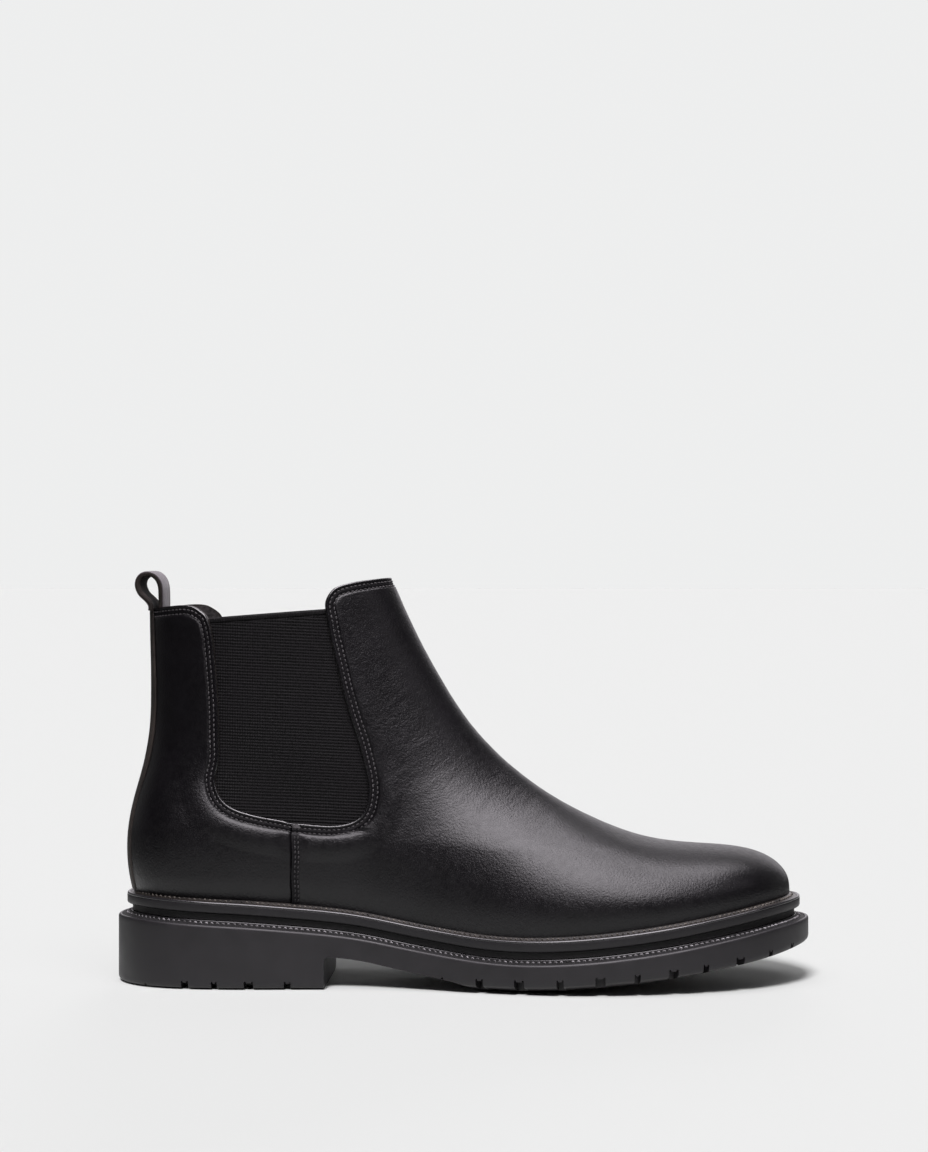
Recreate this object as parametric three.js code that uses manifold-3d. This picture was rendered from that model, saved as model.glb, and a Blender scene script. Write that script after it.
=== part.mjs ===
// Chelsea boot, right foot. Millimetres, +Z up, +X from heel to toe, +Y to the inner (medial) side.
// Origin: the middle of the heel tread, on the ground.
import * as THREE from 'three';
import { mergeVertices } from 'three/addons/utils/BufferGeometryUtils.js';
import Module from 'manifold-3d';

// ---------------------------------------------------------------- driving dimensions
// layers of the upper: [inner face, outer face], measured outwards from the upper surface
const LEATHER_LAYER = [-1.6, 0];
const MIDDLE_LAYER = [-3.2, -2.2];       // gores, counter and toe puff
const LINING_LAYER = [-4.9, -3.9];
const STRIP_LAYER = [0.4, 1.4];          // backstay, over the quarters
// levels on the upper surface: 0 at the welt, 1 at the collar
const LEATHER_BOTTOM = 0.006;
const FLEX_LEVEL = 0.56;                 // line across the front of the shaft
const FLEX_GAP = 0.0012;                 // leather stops this far above and below the flex line
const LINING_FLEX_GAP = 0.003;
const COLLAR_LEVEL = 0.995;              // collar line of the quarters
const LINING_BOTTOM = 0.012, LINING_TOP = 0.985;
const STIFFENER_BOTTOM = 0.014, COUNTER_TOP = 0.42, PUFF_TOP = 0.15;
const STRIP_BOTTOM = 0.016, STRIP_TOP = 0.985;
const GORE_BOTTOM = 0.28, GORE_TOP = 0.947;
const SEAM_GAP = 0.003;                  // radians from the seam line to each leather edge
const BACK_GAP = 0.006;                  // radians from the back line to each quarter

// bottom parts: inset from the outsole outline, low and high faces above the rim line
const MIDSOLE = { inset: 6.2, low: 2.0, high: 4.7 };
const WELT = { inset: 3.8, hole: 17.2, low: 5.1, outerTop: 9.2, innerTop: 10.5 };
const SHANK = { start: 0, end: 104, halfWidth: 7, low: 5.2, high: 6.7 };
const CORK_FILLER = { inset: 17.7, low: 7.1, high: 10.5 };
const INSOLE = { inset: 14.6, low: 11.0, high: 13.0 };
const FOOTBED = { inset: 16.2, low: 13.4, high: 16.8, dishInset: 5, dishDepth: 1 };
const RIM_TOP = 1.6;                     // inner edge of the outsole rim
const FEATHER_INSET = 8.7;               // lower edge of the upper
const UPPER_RISE = 10.9;                 // foot shape starts this far above the rim line

const THREAD_RADIUS = 0.4;
const WELT_STITCH = { inset: 6.1, height: WELT.outerTop + 1.15 };
const OUTSOLE_STITCH = { inset: 3.4, height: RIM_TOP + 0.25 };
const LOOP_WIDTH = 24, LOOP_THICKNESS = 2.2;

const HEEL_BREAST = 54;                  // front face of the heel
const ARCH_END = 125;                    // front end of the cut under the arch
const POCKET = { back: -22, front: 40, halfWidth: 22, roundLength: 12, floor: 6 };
const CORE_GAP = 0.4, CORE_ROUND_LENGTH = 11.8, CORE_HEIGHT = 19.5;
const POCKET_CHAMFER = 4;

const NOTCH_DEPTH = 8, NOTCH_RISE = 2.8, HEEL_NOTCH_RISE = 3.2, GROOVE_RISE = 1.1;
const WIDE = 4.5, NARROW = 2.8;
// [x, width]
const HEEL_NOTCHES = [[-6.3, WIDE], [6.6, NARROW], [21.7, WIDE], [38.3, NARROW]];
const FORE_NOTCHES = [
  [121.7, NARROW], [138.7, WIDE], [156.2, NARROW], [173.2, WIDE], [189, NARROW],
  [204.4, WIDE], [218.4, NARROW], [233.4, WIDE], [247, NARROW],
];

// ---------------------------------------------------------------- materials
const material = (color, { roughness, metalness = 0 }) =>
  new THREE.MeshStandardMaterial({ color, roughness, metalness });
const blackLeather = () => material(0x17171a, { roughness: 0.38 });
const elastic = () => material(0x141415, { roughness: 0.9 });
const liningCloth = () => material(0x2b2623, { roughness: 0.8 });
const stiffener = () => material(0x8d8473, { roughness: 0.85 });
const rubber = () => material(0x1d1d1f, { roughness: 0.55 });
const weltRubber = () => material(0x29292c, { roughness: 0.45 });
const thread = () => material(0x8a857c, { roughness: 0.7 });
const board = () => material(0x9b7a4d, { roughness: 0.85 });
const cork = () => material(0xa67c4e, { roughness: 0.95 });
const steel = () => material(0x9a9da1, { roughness: 0.35, metalness: 1 });
const sock = () => material(0x3a2c20, { roughness: 0.7 });

// ---------------------------------------------------------------- small maths
const range = count => Array.from({ length: count }, (_, i) => i);
const lerp = (a, b, weight) => a + (b - a) * weight;
const clamp = (x, low, high) => Math.min(high, Math.max(low, x));
const smooth = (start, end, x) => {
  const t = clamp((x - start) / (end - start), 0, 1);
  return t * t * (3 - 2 * t);
};

// natural cubic spline through rows [position, ...values]; returns position => values
function spline(rows) {
  const xs = rows.map(row => row[0]), ys = rows.map(row => row.slice(1));
  const last = xs.length - 1, axes = range(ys[0].length), zeros = axes.map(() => 0);
  const gaps = range(last).map(i => xs[i + 1] - xs[i]);
  const slope = (i, k) => (ys[i + 1][k] - ys[i][k]) / gaps[i];
  const diagonal = [], right = [zeros], bends = xs.map(() => zeros);
  for (let i = 1; i < last; i++) {
    const factor = i === 1 ? 0 : gaps[i - 1] / diagonal[i - 1];
    diagonal[i] = 2 * (gaps[i - 1] + gaps[i]) - factor * gaps[i - 1];
    right[i] = axes.map(k => 6 * (slope(i, k) - slope(i - 1, k)) - factor * right[i - 1][k]);
  }
  for (let i = last - 1; i >= 1; i--) {
    bends[i] = axes.map(k => (right[i][k] - gaps[i] * bends[i + 1][k]) / diagonal[i]);
  }
  return x => {
    let i = 0;
    while (i < last - 1 && x > xs[i + 1]) i++;
    const gap = gaps[i], a = (xs[i + 1] - x) / gap, b = (x - xs[i]) / gap;
    return axes.map(k => a * ys[i][k] + b * ys[i + 1][k]
      + ((a ** 3 - a) * bends[i][k] + (b ** 3 - b) * bends[i + 1][k]) * gap * gap / 6);
  };
}
// the same for rows [position, value]; returns position => value
function curve(rows) {
  const at = spline(rows);
  return x => at(x)[0];
}
// straight lines through rows [x, y], held level beyond the ends
function lerpRows(rows, x) {
  if (x <= rows[0][0]) return rows[0][1];
  const i = rows.findIndex(row => x <= row[0]);
  if (i < 0) return rows[rows.length - 1][1];
  const [x0, y0] = rows[i - 1], [x1, y1] = rows[i];
  return y0 + (y1 - y0) * (x - x0) / (x1 - x0);
}

// ---------------------------------------------------------------- the sole outline
// [x, y] from the back of the heel along the outer side to the toe and back along the inner side
const OUTLINE = [
  [-40, 0], [-38.2, -12], [-31, -24.5], [-18, -33.5], [0, -37.5], [22, -38], [48, -36.5],
  [75, -37], [100, -41], [125, -48], [150, -54], [175, -56], [200, -53.5], [224, -46.5],
  [243, -36.5], [256, -24], [264, -9], [266, 4], [263.5, 16.5], [256, 28], [243, 38.5],
  [225, 46], [203, 50.5], [180, 51.5], [157, 49], [133, 42], [108, 34], [83, 30.5],
  [57, 32], [30, 36], [5, 37.5], [-16, 34], [-30.5, 25], [-38, 12.5],
];
const HEEL_END = -40, TOE_END = 266;
const distance = (p, q) => Math.hypot(p[0] - q[0], p[1] - q[1]);

// turn (0..1 once round) => [x, y]; the spline overlaps itself so that it closes smoothly
const outline = (() => {
  const count = OUTLINE.length, overlap = 4;
  const rows = [];
  let along = 0;
  for (let i = -overlap; i <= count + overlap; i++) {
    const point = OUTLINE[(i + count) % count];
    if (rows.length) along += Math.sqrt(distance(point, rows[rows.length - 1].slice(1)));
    rows.push([along, ...point]);
  }
  const at = spline(rows), start = rows[overlap][0], end = rows[overlap + count][0];
  return turn => at(start + (end - start) * (((turn % 1) + 1) % 1));
})();
function offsetPoint(turn, inset) {
  const step = 1e-4, [x, y] = outline(turn);
  const after = outline(turn + step), before = outline(turn - step);
  const dx = after[0] - before[0], dy = after[1] - before[1], length = Math.hypot(dx, dy);
  return [x - dy / length * inset, y + dx / length * inset];
}

// height of the outsole rim: [x, z]
const rimCurve = curve([
  [-40, 29.1], [-30, 29.2], [-18, 28.7], [0, 27.7], [18, 26.8], [35, 25.5], [52, 24.0],
  [70, 21.8], [87, 18.7], [105, 15.7], [122, 13.6], [139, 12.9], [156, 13.5], [173, 14.9],
  [190, 16.9], [207, 19.3], [224, 22.2], [238, 24.7], [249, 26.6], [266, 28.6],
]);
const rim = x => rimCurve(clamp(x, HEEL_END, TOE_END));
const over = height => x => rim(x) + height;

// underside along the middle of the forefoot: [x, z]
const FORE_START = 96;
const underCurve = curve([
  [FORE_START, 0], [110, 0], [122, 0], [139, 0], [156, 0.7], [173, 2.1], [190, 3.9],
  [207, 6.2], [224, 9.0], [238, 11.6], [249, 13.8], [266, 17.4],
]);
const under = x => x < FORE_START ? 0 : underCurve(Math.min(x, TOE_END));

// ---------------------------------------------------------------- the upper surface
// (phi, level): phi = 0 up the back, pi down the front, 0..pi the outer side, pi..2pi the inner side
const FULL_TURN = 2 * Math.PI;
// front and back profiles: [level, x, z]
const FRONT = [
  [0, 257.38, 38.81], [.03, 256.34, 45.94], [.06, 251.9, 51.65], [.1, 243.39, 56.22],
  [.15, 231.52, 58.66], [.22, 214.61, 59.88], [.3, 195.36, 62.43], [.4, 172.54, 70.48],
  [.5, 151.07, 81.72], [.6, 131.93, 96.6], [.7, 115.38, 114.28], [.8, 102.4, 134.76],
  [.9, 91.04, 156.18], [1, 81.24, 178.36],
];
const BACK = [
  [0, -32.86, 39.6], [.1, -34.8, 50.04], [.2, -35.2, 62.87], [.32, -32.8, 78.2],
  [.45, -28.4, 94.44], [.6, -25.35, 113.49], [.8, -25.0, 139.22], [1, -25.5, 164.98],
];
const frontAt = spline(FRONT), backAt = spline(BACK);
const FOOT_BACK = BACK[0][1], FOOT_FRONT = FRONT[0][1];
const FOOT_LENGTH = FOOT_FRONT - FOOT_BACK;
const MIDDLE_X = 25, SHAFT_MIDDLE_X = MIDDLE_X + 2.5;

// sideways shift of the foot's centre line: [x, y]
const centreCurve = curve([
  [-40, 0], [60, 0], [110, 0], [150, .8], [200, 2.6], [235, 4.2], [266, 4.8],
]);
const centreY = x => centreCurve(clamp(x, HEEL_END, TOE_END));

// half widths at the welt by phi, from the outline inset to the feather line
const [outerWidth, innerWidth] = (() => {
  const points = range(600).map(i => offsetPoint(i / 600, FEATHER_INSET));
  const xs = points.map(point => point[0]), low = Math.min(...xs), high = Math.max(...xs);
  const rear = xs.indexOf(low);
  const ring = [...points.slice(rear), ...points.slice(0, rear)];
  const toe = ring.findIndex(([x]) => x === high);
  const steps = 24;
  const tabulate = (half, side) => {
    const rows = half.map(([x, y]) => [FOOT_BACK + (x - low) * FOOT_LENGTH / (high - low), y]);
    rows.sort((a, b) => a[0] - b[0]);
    return curve(range(steps + 1).map(i => {
      const phi = Math.PI * i / steps;
      if (i === 0 || i === steps) return [phi, 0];
      const x = FOOT_BACK + FOOT_LENGTH * (1 - Math.cos(phi)) / 2;
      return [phi, side * (lerpRows(rows, x) - centreY(x))];
    }));
  };
  return [tabulate(ring.slice(0, toe + 1), -1), tabulate([...ring.slice(toe), ring[0]], 1)];
})();

// height of the front profile at x
const ridgeRows = range(801).map(i => frontAt(i / 800)).reverse();
const ridge = x => lerpRows(ridgeRows, x);

// added share of the width: [level, share]
const bulgeHeel = curve([
  [0, 0], [.05, .075], [.1, .10], [.2, .11], [.3, .08], [.4, .03], [.5, 0], [1, 0],
]);
const bulgeFore = curve([
  [0, 0], [.04, .035], [.08, .05], [.15, .055], [.3, .05], [.5, .04], [1, .03],
]);
// half width of the shaft: [level, half width]
const shaftWidth = curve([[0, 31], [.3, 31], [.45, 30.5], [.6, 30.0], [.8, 29.5], [1, 29.5]]);
// half-width swell at the waist, as a share of the width
const WAIST = { x: 84, spread: 34, inner: .17, outer: .03 };
// roundness of the foot section over its height: [x, exponent]
const SECTION_POWER = [[90, 1.45], [115, 1.6], [150, 1.9], [200, 2.5], [250, 2.9]];
// beyond this phi the section closes over the ridge as a round arc
const CLOSE_PHI = Math.PI - .14;

// place on one level: the level's back and front x, and the x and z at phi
function station(phi, level) {
  const [back, backZ] = backAt(level), [front, frontZ] = frontAt(level);
  const share = (1 - Math.cos(phi)) / 2;
  // the lower levels follow the bow of the rim between its ends
  const bow = rim(FOOT_BACK + FOOT_LENGTH * share) - lerp(rim(FOOT_BACK), rim(FOOT_FRONT), share);
  const z = lerp(backZ, frontZ, share) + bow * clamp(1 - level / .5, 0, 1) ** 2;
  return { back, front, x: lerp(back, front, share), z };
}
function footWidth(phi, level, side) {
  if (phi > CLOSE_PHI) {
    return footWidth(CLOSE_PHI, level, side) * Math.sin(phi) / Math.sin(CLOSE_PHI);
  }
  const { back, x, z } = station(phi, level);
  const weltX = x < MIDDLE_X
    ? MIDDLE_X - (MIDDLE_X - x) * (MIDDLE_X - FOOT_BACK) / (MIDDLE_X - back) : x;
  const weltPhi = Math.acos(clamp(1 - 2 * (weltX - FOOT_BACK) / FOOT_LENGTH, -1, 1));
  const base = side < 0 ? outerWidth(weltPhi) : innerWidth(weltPhi);
  const swell = (side > 0 ? WAIST.inner : WAIST.outer)
    * Math.exp(-(((x - WAIST.x) / WAIST.spread) ** 2)) * smooth(.03, .3, level);
  const bulge = lerp(bulgeHeel(level), bulgeFore(level), smooth(40, 120, x));
  // forward of the shaft the width narrows up to the ridge
  const floor = rim(x) + UPPER_RISE;
  const rise = clamp((z - floor) / Math.max(ridge(x) - floor, 1e-6), 0, 1);
  const narrowing = Math.sqrt(clamp(1 - rise ** lerpRows(SECTION_POWER, x), 0, 1));
  return base * (1 + swell) * (1 + bulge) * lerp(1, narrowing, smooth(60, 81.3, x));
}
// foot shape low down, blending to the oval shaft
function surfacePoint(phi, level) {
  const angle = ((phi % FULL_TURN) + FULL_TURN) % FULL_TURN, side = angle <= Math.PI ? -1 : 1;
  const half = side < 0 ? angle : FULL_TURN - angle;
  const { back, front, x, z } = station(half, level), blend = smooth(.25, .62, level);
  const behind = x < SHAFT_MIDDLE_X, end = behind ? back : front;
  const reach = clamp((x - SHAFT_MIDDLE_X) / (end - SHAFT_MIDDLE_X), 0, 1);
  const oval = Math.sqrt(clamp(1 - reach ** (behind ? 2.1 : 2.05), 0, 1));
  const width = lerp(footWidth(half, level, side), shaftWidth(level) * oval, blend);
  return new THREE.Vector3(x, centreY(x) * (1 - blend) + side * width, z);
}
function surfaceNormal(phi, level) {
  const step = 2e-3;
  const around = surfacePoint(phi + step, level).sub(surfacePoint(phi - step, level));
  const up = surfacePoint(phi, Math.min(level + step, 1))
    .sub(surfacePoint(phi, Math.max(level - step, 0)));
  return around.cross(up).normalize();
}

// ---------------------------------------------------------------- mesh builders
function makeGeometry(positions, index) {
  const geometry = new THREE.BufferGeometry();
  geometry.setAttribute('position', new THREE.Float32BufferAttribute(positions, 3));
  geometry.setIndex(index);
  return geometry;
}
// merges equal points, drops degenerate triangles and turns the faces outwards
function finish(points, index) {
  const known = new Map(), vertices = [];
  const merged = points.map(point => {
    const key = point.map(c => Math.round(c * 1e4)).join();
    if (!known.has(key)) {
      known.set(key, vertices.length);
      vertices.push(point);
    }
    return known.get(key);
  });
  const triangles = [];
  let volume = 0;
  for (let i = 0; i < index.length; i += 3) {
    const corners = index.slice(i, i + 3).map(j => merged[j]);
    if (new Set(corners).size < 3) continue;
    triangles.push(corners);
    const [a, b, c] = corners.map(j => new THREE.Vector3(...vertices[j]));
    volume += a.dot(b.cross(c));
  }
  const outward = volume < 0 ? triangles.map(([a, b, c]) => [b, a, c]) : triangles;
  return makeGeometry(vertices.flat(), outward.flat());
}
const pushQuad = (index, a, b, c, d) => index.push(a, b, c, a, c, d);

// closed slab; pointAt(across, up, face) with face = 0 inner, 1 outer
function slab(pointAt, columns, rows) {
  const points = [], index = [];
  const id = (i, j, face) => (face * (rows + 1) + j) * (columns + 1) + i;
  const quad = (...corners) => pushQuad(index, ...corners.map(corner => id(...corner)));
  for (let face = 0; face < 2; face++) {
    for (let j = 0; j <= rows; j++) {
      for (let i = 0; i <= columns; i++) points.push(pointAt(i / columns, j / rows, face));
    }
  }
  for (let j = 0; j < rows; j++) {
    for (let i = 0; i < columns; i++) {
      quad([i, j, 1], [i + 1, j, 1], [i + 1, j + 1, 1], [i, j + 1, 1]);
      quad([i, j, 0], [i, j + 1, 0], [i + 1, j + 1, 0], [i + 1, j, 0]);
    }
  }
  for (let i = 0; i < columns; i++) {
    quad([i, 0, 0], [i + 1, 0, 0], [i + 1, 0, 1], [i, 0, 1]);
    quad([i, rows, 1], [i + 1, rows, 1], [i + 1, rows, 0], [i, rows, 0]);
  }
  for (let j = 0; j < rows; j++) {
    quad([0, j, 1], [0, j + 1, 1], [0, j + 1, 0], [0, j, 0]);
    quad([columns, j, 0], [columns, j + 1, 0], [columns, j + 1, 1], [columns, j, 1]);
  }
  return finish(points, index);
}
// piece of the upper; domain(across, up) => [phi, level]
function patch(domain, columns, rows, layer) {
  return slab((across, up, face) => {
    const at = domain(across, up);
    return surfacePoint(...at).addScaledVector(surfaceNormal(...at), layer[face]).toArray();
  }, columns, rows);
}

// turns round the sole outline, even in length
const RING_TURNS = (() => {
  const count = 64, steps = 2000, along = [0];
  for (let i = 1; i <= steps; i++) {
    along.push(along[i - 1] + distance(outline(i / steps), outline((i - 1) / steps)));
  }
  return range(count).map(k => {
    const target = along[steps] * k / count;
    let i = 0;
    while (along[i + 1] < target) i++;
    return (i + (target - along[i]) / (along[i + 1] - along[i])) / steps;
  });
})();
// rings: [inset, x => z]; capped at both ends, or joined last to first as a loop
function ringSolid(rings, loop = false) {
  const size = RING_TURNS.length, count = rings.length, index = [];
  const points = rings.flatMap(([inset, heightAt]) => RING_TURNS.map(turn => {
    const [x, y] = offsetPoint(turn, inset);
    return [x, y, heightAt(x)];
  }));
  const id = (ring, i) => (ring % count) * size + i % size;
  for (let ring = 0; ring < (loop ? count : count - 1); ring++) {
    for (let i = 0; i < size; i++) {
      pushQuad(index, id(ring, i), id(ring, i + 1), id(ring + 1, i + 1), id(ring + 1, i));
    }
  }
  if (loop) return finish(points, index);
  for (let i = 0; i < size / 2; i++) {
    const strip = ring => [i, i + 1, size - i - 1, size - i].map(j => id(ring, j));
    const [a, b, c, d] = strip(0);
    index.push(c, b, a, d, c, a);
    pushQuad(index, ...strip(count - 1));
  }
  return finish(points, index);
}
const soleLayer = ({ inset, low, high }) => ringSolid([[inset, over(high)], [inset, over(low)]]);

// three-sided cord running round the sole
function threadRing({ inset, height }) {
  return ringSolid(range(3).map(k => {
    const angle = k * FULL_TURN / 3 + Math.PI / 2;
    const z = over(height + THREAD_RADIUS * Math.sin(angle));
    return [inset + THREAD_RADIUS * Math.cos(angle), z];
  }), true);
}
const extrude = (points, depth) => new THREE.ExtrudeGeometry(
  new THREE.Shape(points.map(point => new THREE.Vector2(...point))),
  { depth, bevelEnabled: false },
);
const boxAt = (x0, x1, y0, y1, z0, z1) => new THREE.BoxGeometry(x1 - x0, y1 - y0, z1 - z0)
  .translate((x0 + x1) / 2, (y0 + y1) / 2, (z0 + z1) / 2);

// ---------------------------------------------------------------- booleans
const wasm = await Module();
wasm.setup();
function solid(geometry) {
  geometry.deleteAttribute('normal');
  geometry.deleteAttribute('uv');
  const merged = mergeVertices(geometry, 1e-4);
  return new wasm.Manifold(new wasm.Mesh({
    numProp: 3,
    vertProperties: merged.attributes.position.array,
    triVerts: new Uint32Array(merged.index.array),
  }));
}
function fromSolid(body) {
  const mesh = body.getMesh();
  return makeGeometry(mesh.vertProperties, Array.from(mesh.triVerts));
}

// ---------------------------------------------------------------- pieces of the upper
// edge lines on the outer side: [phi, level]
const SEAM = [[1.045, 0], [1.068, .064], [1.134, .174], [1.181, .261], [1.21, .306]];
const GORE_FRONT = [
  [1.257, .309], [1.319, .309], [1.388, .315], [1.448, .329], [1.503, .351],
  [1.56, .386], [1.621, .435], [1.676, .484], [1.725, .535], [1.747, .56],
];
const GORE_FRONT_TOP = [
  [1.747, .56], [1.791, .61], [1.835, .67], [1.869, .724], [1.906, .787], [1.945, .847],
  [1.974, .895], [2.0, .93], [2.012, .948], [2.03, .962], [2.063, .974],
];
const TAB_TOP = [[2.063, .974], [2.139, .989], [2.27, .997], [2.6, 1], [Math.PI, 1]];
const GORE_BACK = [
  [1.162, .316], [1.097, .322], [1.029, .331], [.958, .347], [.914, .369], [.885, .404],
  [.878, .449], [.903, .494], [.945, .602], [.992, .703], [1.026, .799], [1.045, .86],
  [1.052, .892], [1.05, .925], [1.029, .955], [.987, .970],
];
const QUARTER_TOP = [
  [0, COLLAR_LEVEL], [.652, COLLAR_LEVEL], [.846, .991], [.922, .984], [.987, .970],
];

// share of length (0..1) => [phi, level]; the scales turn phi and level into rough millimetres
function polyline(points, phiScale = 70) {
  const levelScale = 170, along = [0];
  for (let i = 1; i < points.length; i++) {
    const [phi, level] = points[i], [lastPhi, lastLevel] = points[i - 1];
    along.push(along[i - 1]
      + Math.hypot((phi - lastPhi) * phiScale, (level - lastLevel) * levelScale));
  }
  const length = along[along.length - 1];
  return share => {
    let i = 0;
    while (i < points.length - 2 && share * length > along[i + 1]) i++;
    const weight = (share * length - along[i]) / (along[i + 1] - along[i]);
    return [0, 1].map(axis => lerp(points[i][axis], points[i + 1][axis], weight));
  };
}
// seam and gore edge of a leather piece, moved off the seam line by shift
const sideEdge = (goreEdge, shift) => polyline([...SEAM, ...goreEdge]
  .map(([phi, level], i) => [phi + shift, i === 0 ? LEATHER_BOTTOM : level]));
const mirror = ([phi, level]) => [FULL_TURN - phi, level];
const onInner = domain => (across, up) => mirror(domain(across, up));

// vamp: one leather piece from the toe to the flex line
const vampSide = sideEdge(GORE_FRONT, SEAM_GAP);
function vampDomain(across, up) {
  const [phi, level] = vampSide(up), top = FLEX_LEVEL - FLEX_GAP;
  const middleLevel = lerp(LEATHER_BOTTOM, top, up);
  const sideShare = Math.abs(2 * across - 1) ** 3;
  return [
    lerp(phi, FULL_TURN - phi, across),
    lerp(middleLevel, Math.min(level, top), sideShare),
  ];
}
// front of the shaft, above the flex line: each half blends its four edges
const shaftSide = polyline(GORE_FRONT_TOP), tabTop = polyline(TAB_TOP, 40);
function shaftDomain(across, up) {
  const low = FLEX_LEVEL + FLEX_GAP;
  const inward = across <= .5 ? 2 * across : 2 - 2 * across;
  const [sidePhi, sideLevel] = shaftSide(up);
  const side = [sidePhi, Math.max(sideLevel, low)], middle = [Math.PI, lerp(low, 1, up)];
  const bottomCorner = [GORE_FRONT_TOP[0][0], low], topCorner = TAB_TOP[0];
  const bottomMiddle = [Math.PI, low], topMiddle = [Math.PI, 1];
  const top = tabTop(inward);
  const at = [0, 1].map(axis => {
    const bottom = lerp(bottomCorner[axis], bottomMiddle[axis], inward);
    const straightTop = lerp(topCorner[axis], topMiddle[axis], inward);
    return lerp(bottom, top[axis], up) + lerp(side[axis], middle[axis], inward)
      - lerp(bottom, straightTop, up);
  });
  return across <= .5 ? at : mirror(at);
}
// quarter: from the back line to the seam and the gore
const quarterSide = sideEdge(GORE_BACK, -SEAM_GAP), quarterTop = polyline(QUARTER_TOP);
function quarterDomain(across, up) {
  const [sidePhi, sideLevel] = quarterSide(up), [topPhi, topLevel] = quarterTop(across);
  const [cornerPhi, cornerLevel] = QUARTER_TOP[QUARTER_TOP.length - 1];
  const weight = across * across, topWeight = up ** 6;
  const straightPhi = lerp(BACK_GAP, cornerPhi - SEAM_GAP, across);
  const straightLevel = lerp(COLLAR_LEVEL, cornerLevel, weight);
  return [
    lerp(BACK_GAP, sidePhi, across) + (Math.max(topPhi, BACK_GAP) - straightPhi) * topWeight,
    lerp(lerp(LEATHER_BOTTOM, COLLAR_LEVEL, up), sideLevel, weight)
      + (topLevel - straightLevel) * topWeight,
  ];
}
// gores, under the leather edges: [level, back phi, front phi]
const goreEdges = spline([
  [.28, .86, 1.50], [.36, .80, 1.62], [.5, .80, 1.79], [.6, .845, 1.875],
  [.7, .89, 1.95], [.8, .926, 2.01], [.9, .95, 2.075], [.95, .955, 2.11],
]);
function goreDomain(across, up) {
  const level = lerp(GORE_BOTTOM, GORE_TOP, up);
  return [lerp(...goreEdges(level), across), level];
}
// bands across the back or the front, symmetric; edges below are [level, phi]
const backBand = (edge, low, high) => (across, up) => {
  const level = lerp(low, high, up);
  return [(2 * across - 1) * edge(level), level];
};
const frontBand = (edge, low, high) => (across, up) => {
  const level = lerp(low, high, up), phi = edge(level);
  return [lerp(phi, FULL_TURN - phi, across), level];
};
const stripEdge = curve([
  [0, .2], [.1, .215], [.2, .214], [.36, .225], [.52, .25], [.66, .275], [.82, .28], [1, .262],
]);
const quarterLiningEdge = curve([
  [0, 1.19], [.2, 1.2], [.28, 1.15], [.36, .98], [.45, .90], [.6, .94],
  [.8, 1.01], [.9, 1.03], [.94, 1.01], [.965, .965], [.985, .88],
]);
const frontLiningEdge = curve([
  [0, 1.23], [.2, 1.24], [.28, 1.32], [.36, 1.56], [.45, 1.66], [.56, 1.77],
  [.67, 1.86], [.83, 1.97], [.92, 2.02], [.955, 2.06], [.975, 2.11], [.987, 2.19],
]);
const counterEdge = curve([[0, 1.0], [.15, .98], [.22, .86], [.30, .70], [.42, .62]]);
const puffEdge = curve([[0, 2.42], [.08, 2.5], [.16, 2.72]]);

// pull loop: a folded strap, teardrop seen from the side; outer face as [x, z]
const LOOP_OUTER = [
  [-24.9, 166.6], [-27.2, 168.0], [-29.4, 169.9], [-31.0, 172.3], [-31.7, 175.0],
  [-31.0, 178.0], [-29.1, 180.1], [-26.2, 181.0], [-23.1, 180.3], [-20.7, 178.1],
  [-19.4, 174.9], [-19.2, 171.6], [-20.1, 168.9], [-22.3, 166.9],
];
function pullLoop() {
  const knots = LOOP_OUTER.map(([x, z]) => new THREE.Vector3(x, z, 0));
  const path = new THREE.CatmullRomCurve3(knots, true, 'centripetal');
  const count = 28, half = LOOP_WIDTH / 2, middle = new THREE.Vector2(-24.9, 174);
  const points = [], index = [];
  const id = (i, k) => (i % count) * 4 + k % 4;
  for (let i = 0; i < count; i++) {
    const { x, y: z } = path.getPoint(i / count), tangent = path.getTangent(i / count);
    const inward = new THREE.Vector2(tangent.y, -tangent.x);
    if (inward.dot(middle.clone().sub(new THREE.Vector2(x, z))) < 0) inward.negate();
    const innerX = x + inward.x * LOOP_THICKNESS, innerZ = z + inward.y * LOOP_THICKNESS;
    points.push([x, -half, z], [x, half, z], [innerX, half, innerZ], [innerX, -half, innerZ]);
    for (let k = 0; k < 4; k++) {
      pushQuad(index, id(i, k), id(i, k + 1), id(i + 1, k + 1), id(i + 1, k));
    }
  }
  return finish(points, index);
}

// ---------------------------------------------------------------- pieces of the bottom
function footbed() {
  const { inset, low, high, dishInset, dishDepth } = FOOTBED;
  return ringSolid([
    [inset + dishInset, over(high - dishDepth)], [inset, over(high)], [inset, over(low)],
  ]);
}
function shank() {
  const { start, end, halfWidth, low, high } = SHANK;
  return slab((along, across, face) => {
    const x = lerp(start, end, along);
    return [x, lerp(-halfWidth, halfWidth, across), over(face ? high : low)(x)];
  }, 16, 1);
}
// section of the welt, with its outer corners trimmed
function welt() {
  const { inset, hole, low, outerTop, innerTop } = WELT;
  return ringSolid([
    [inset, over(outerTop - .7)], [inset + .6, over(outerTop)],
    [FEATHER_INSET - .6, over(innerTop - .2)], [hole, over(innerTop)],
    [hole, over(low)], [inset + .4, over(low)], [inset, over(low + .5)],
  ], true);
}
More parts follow.
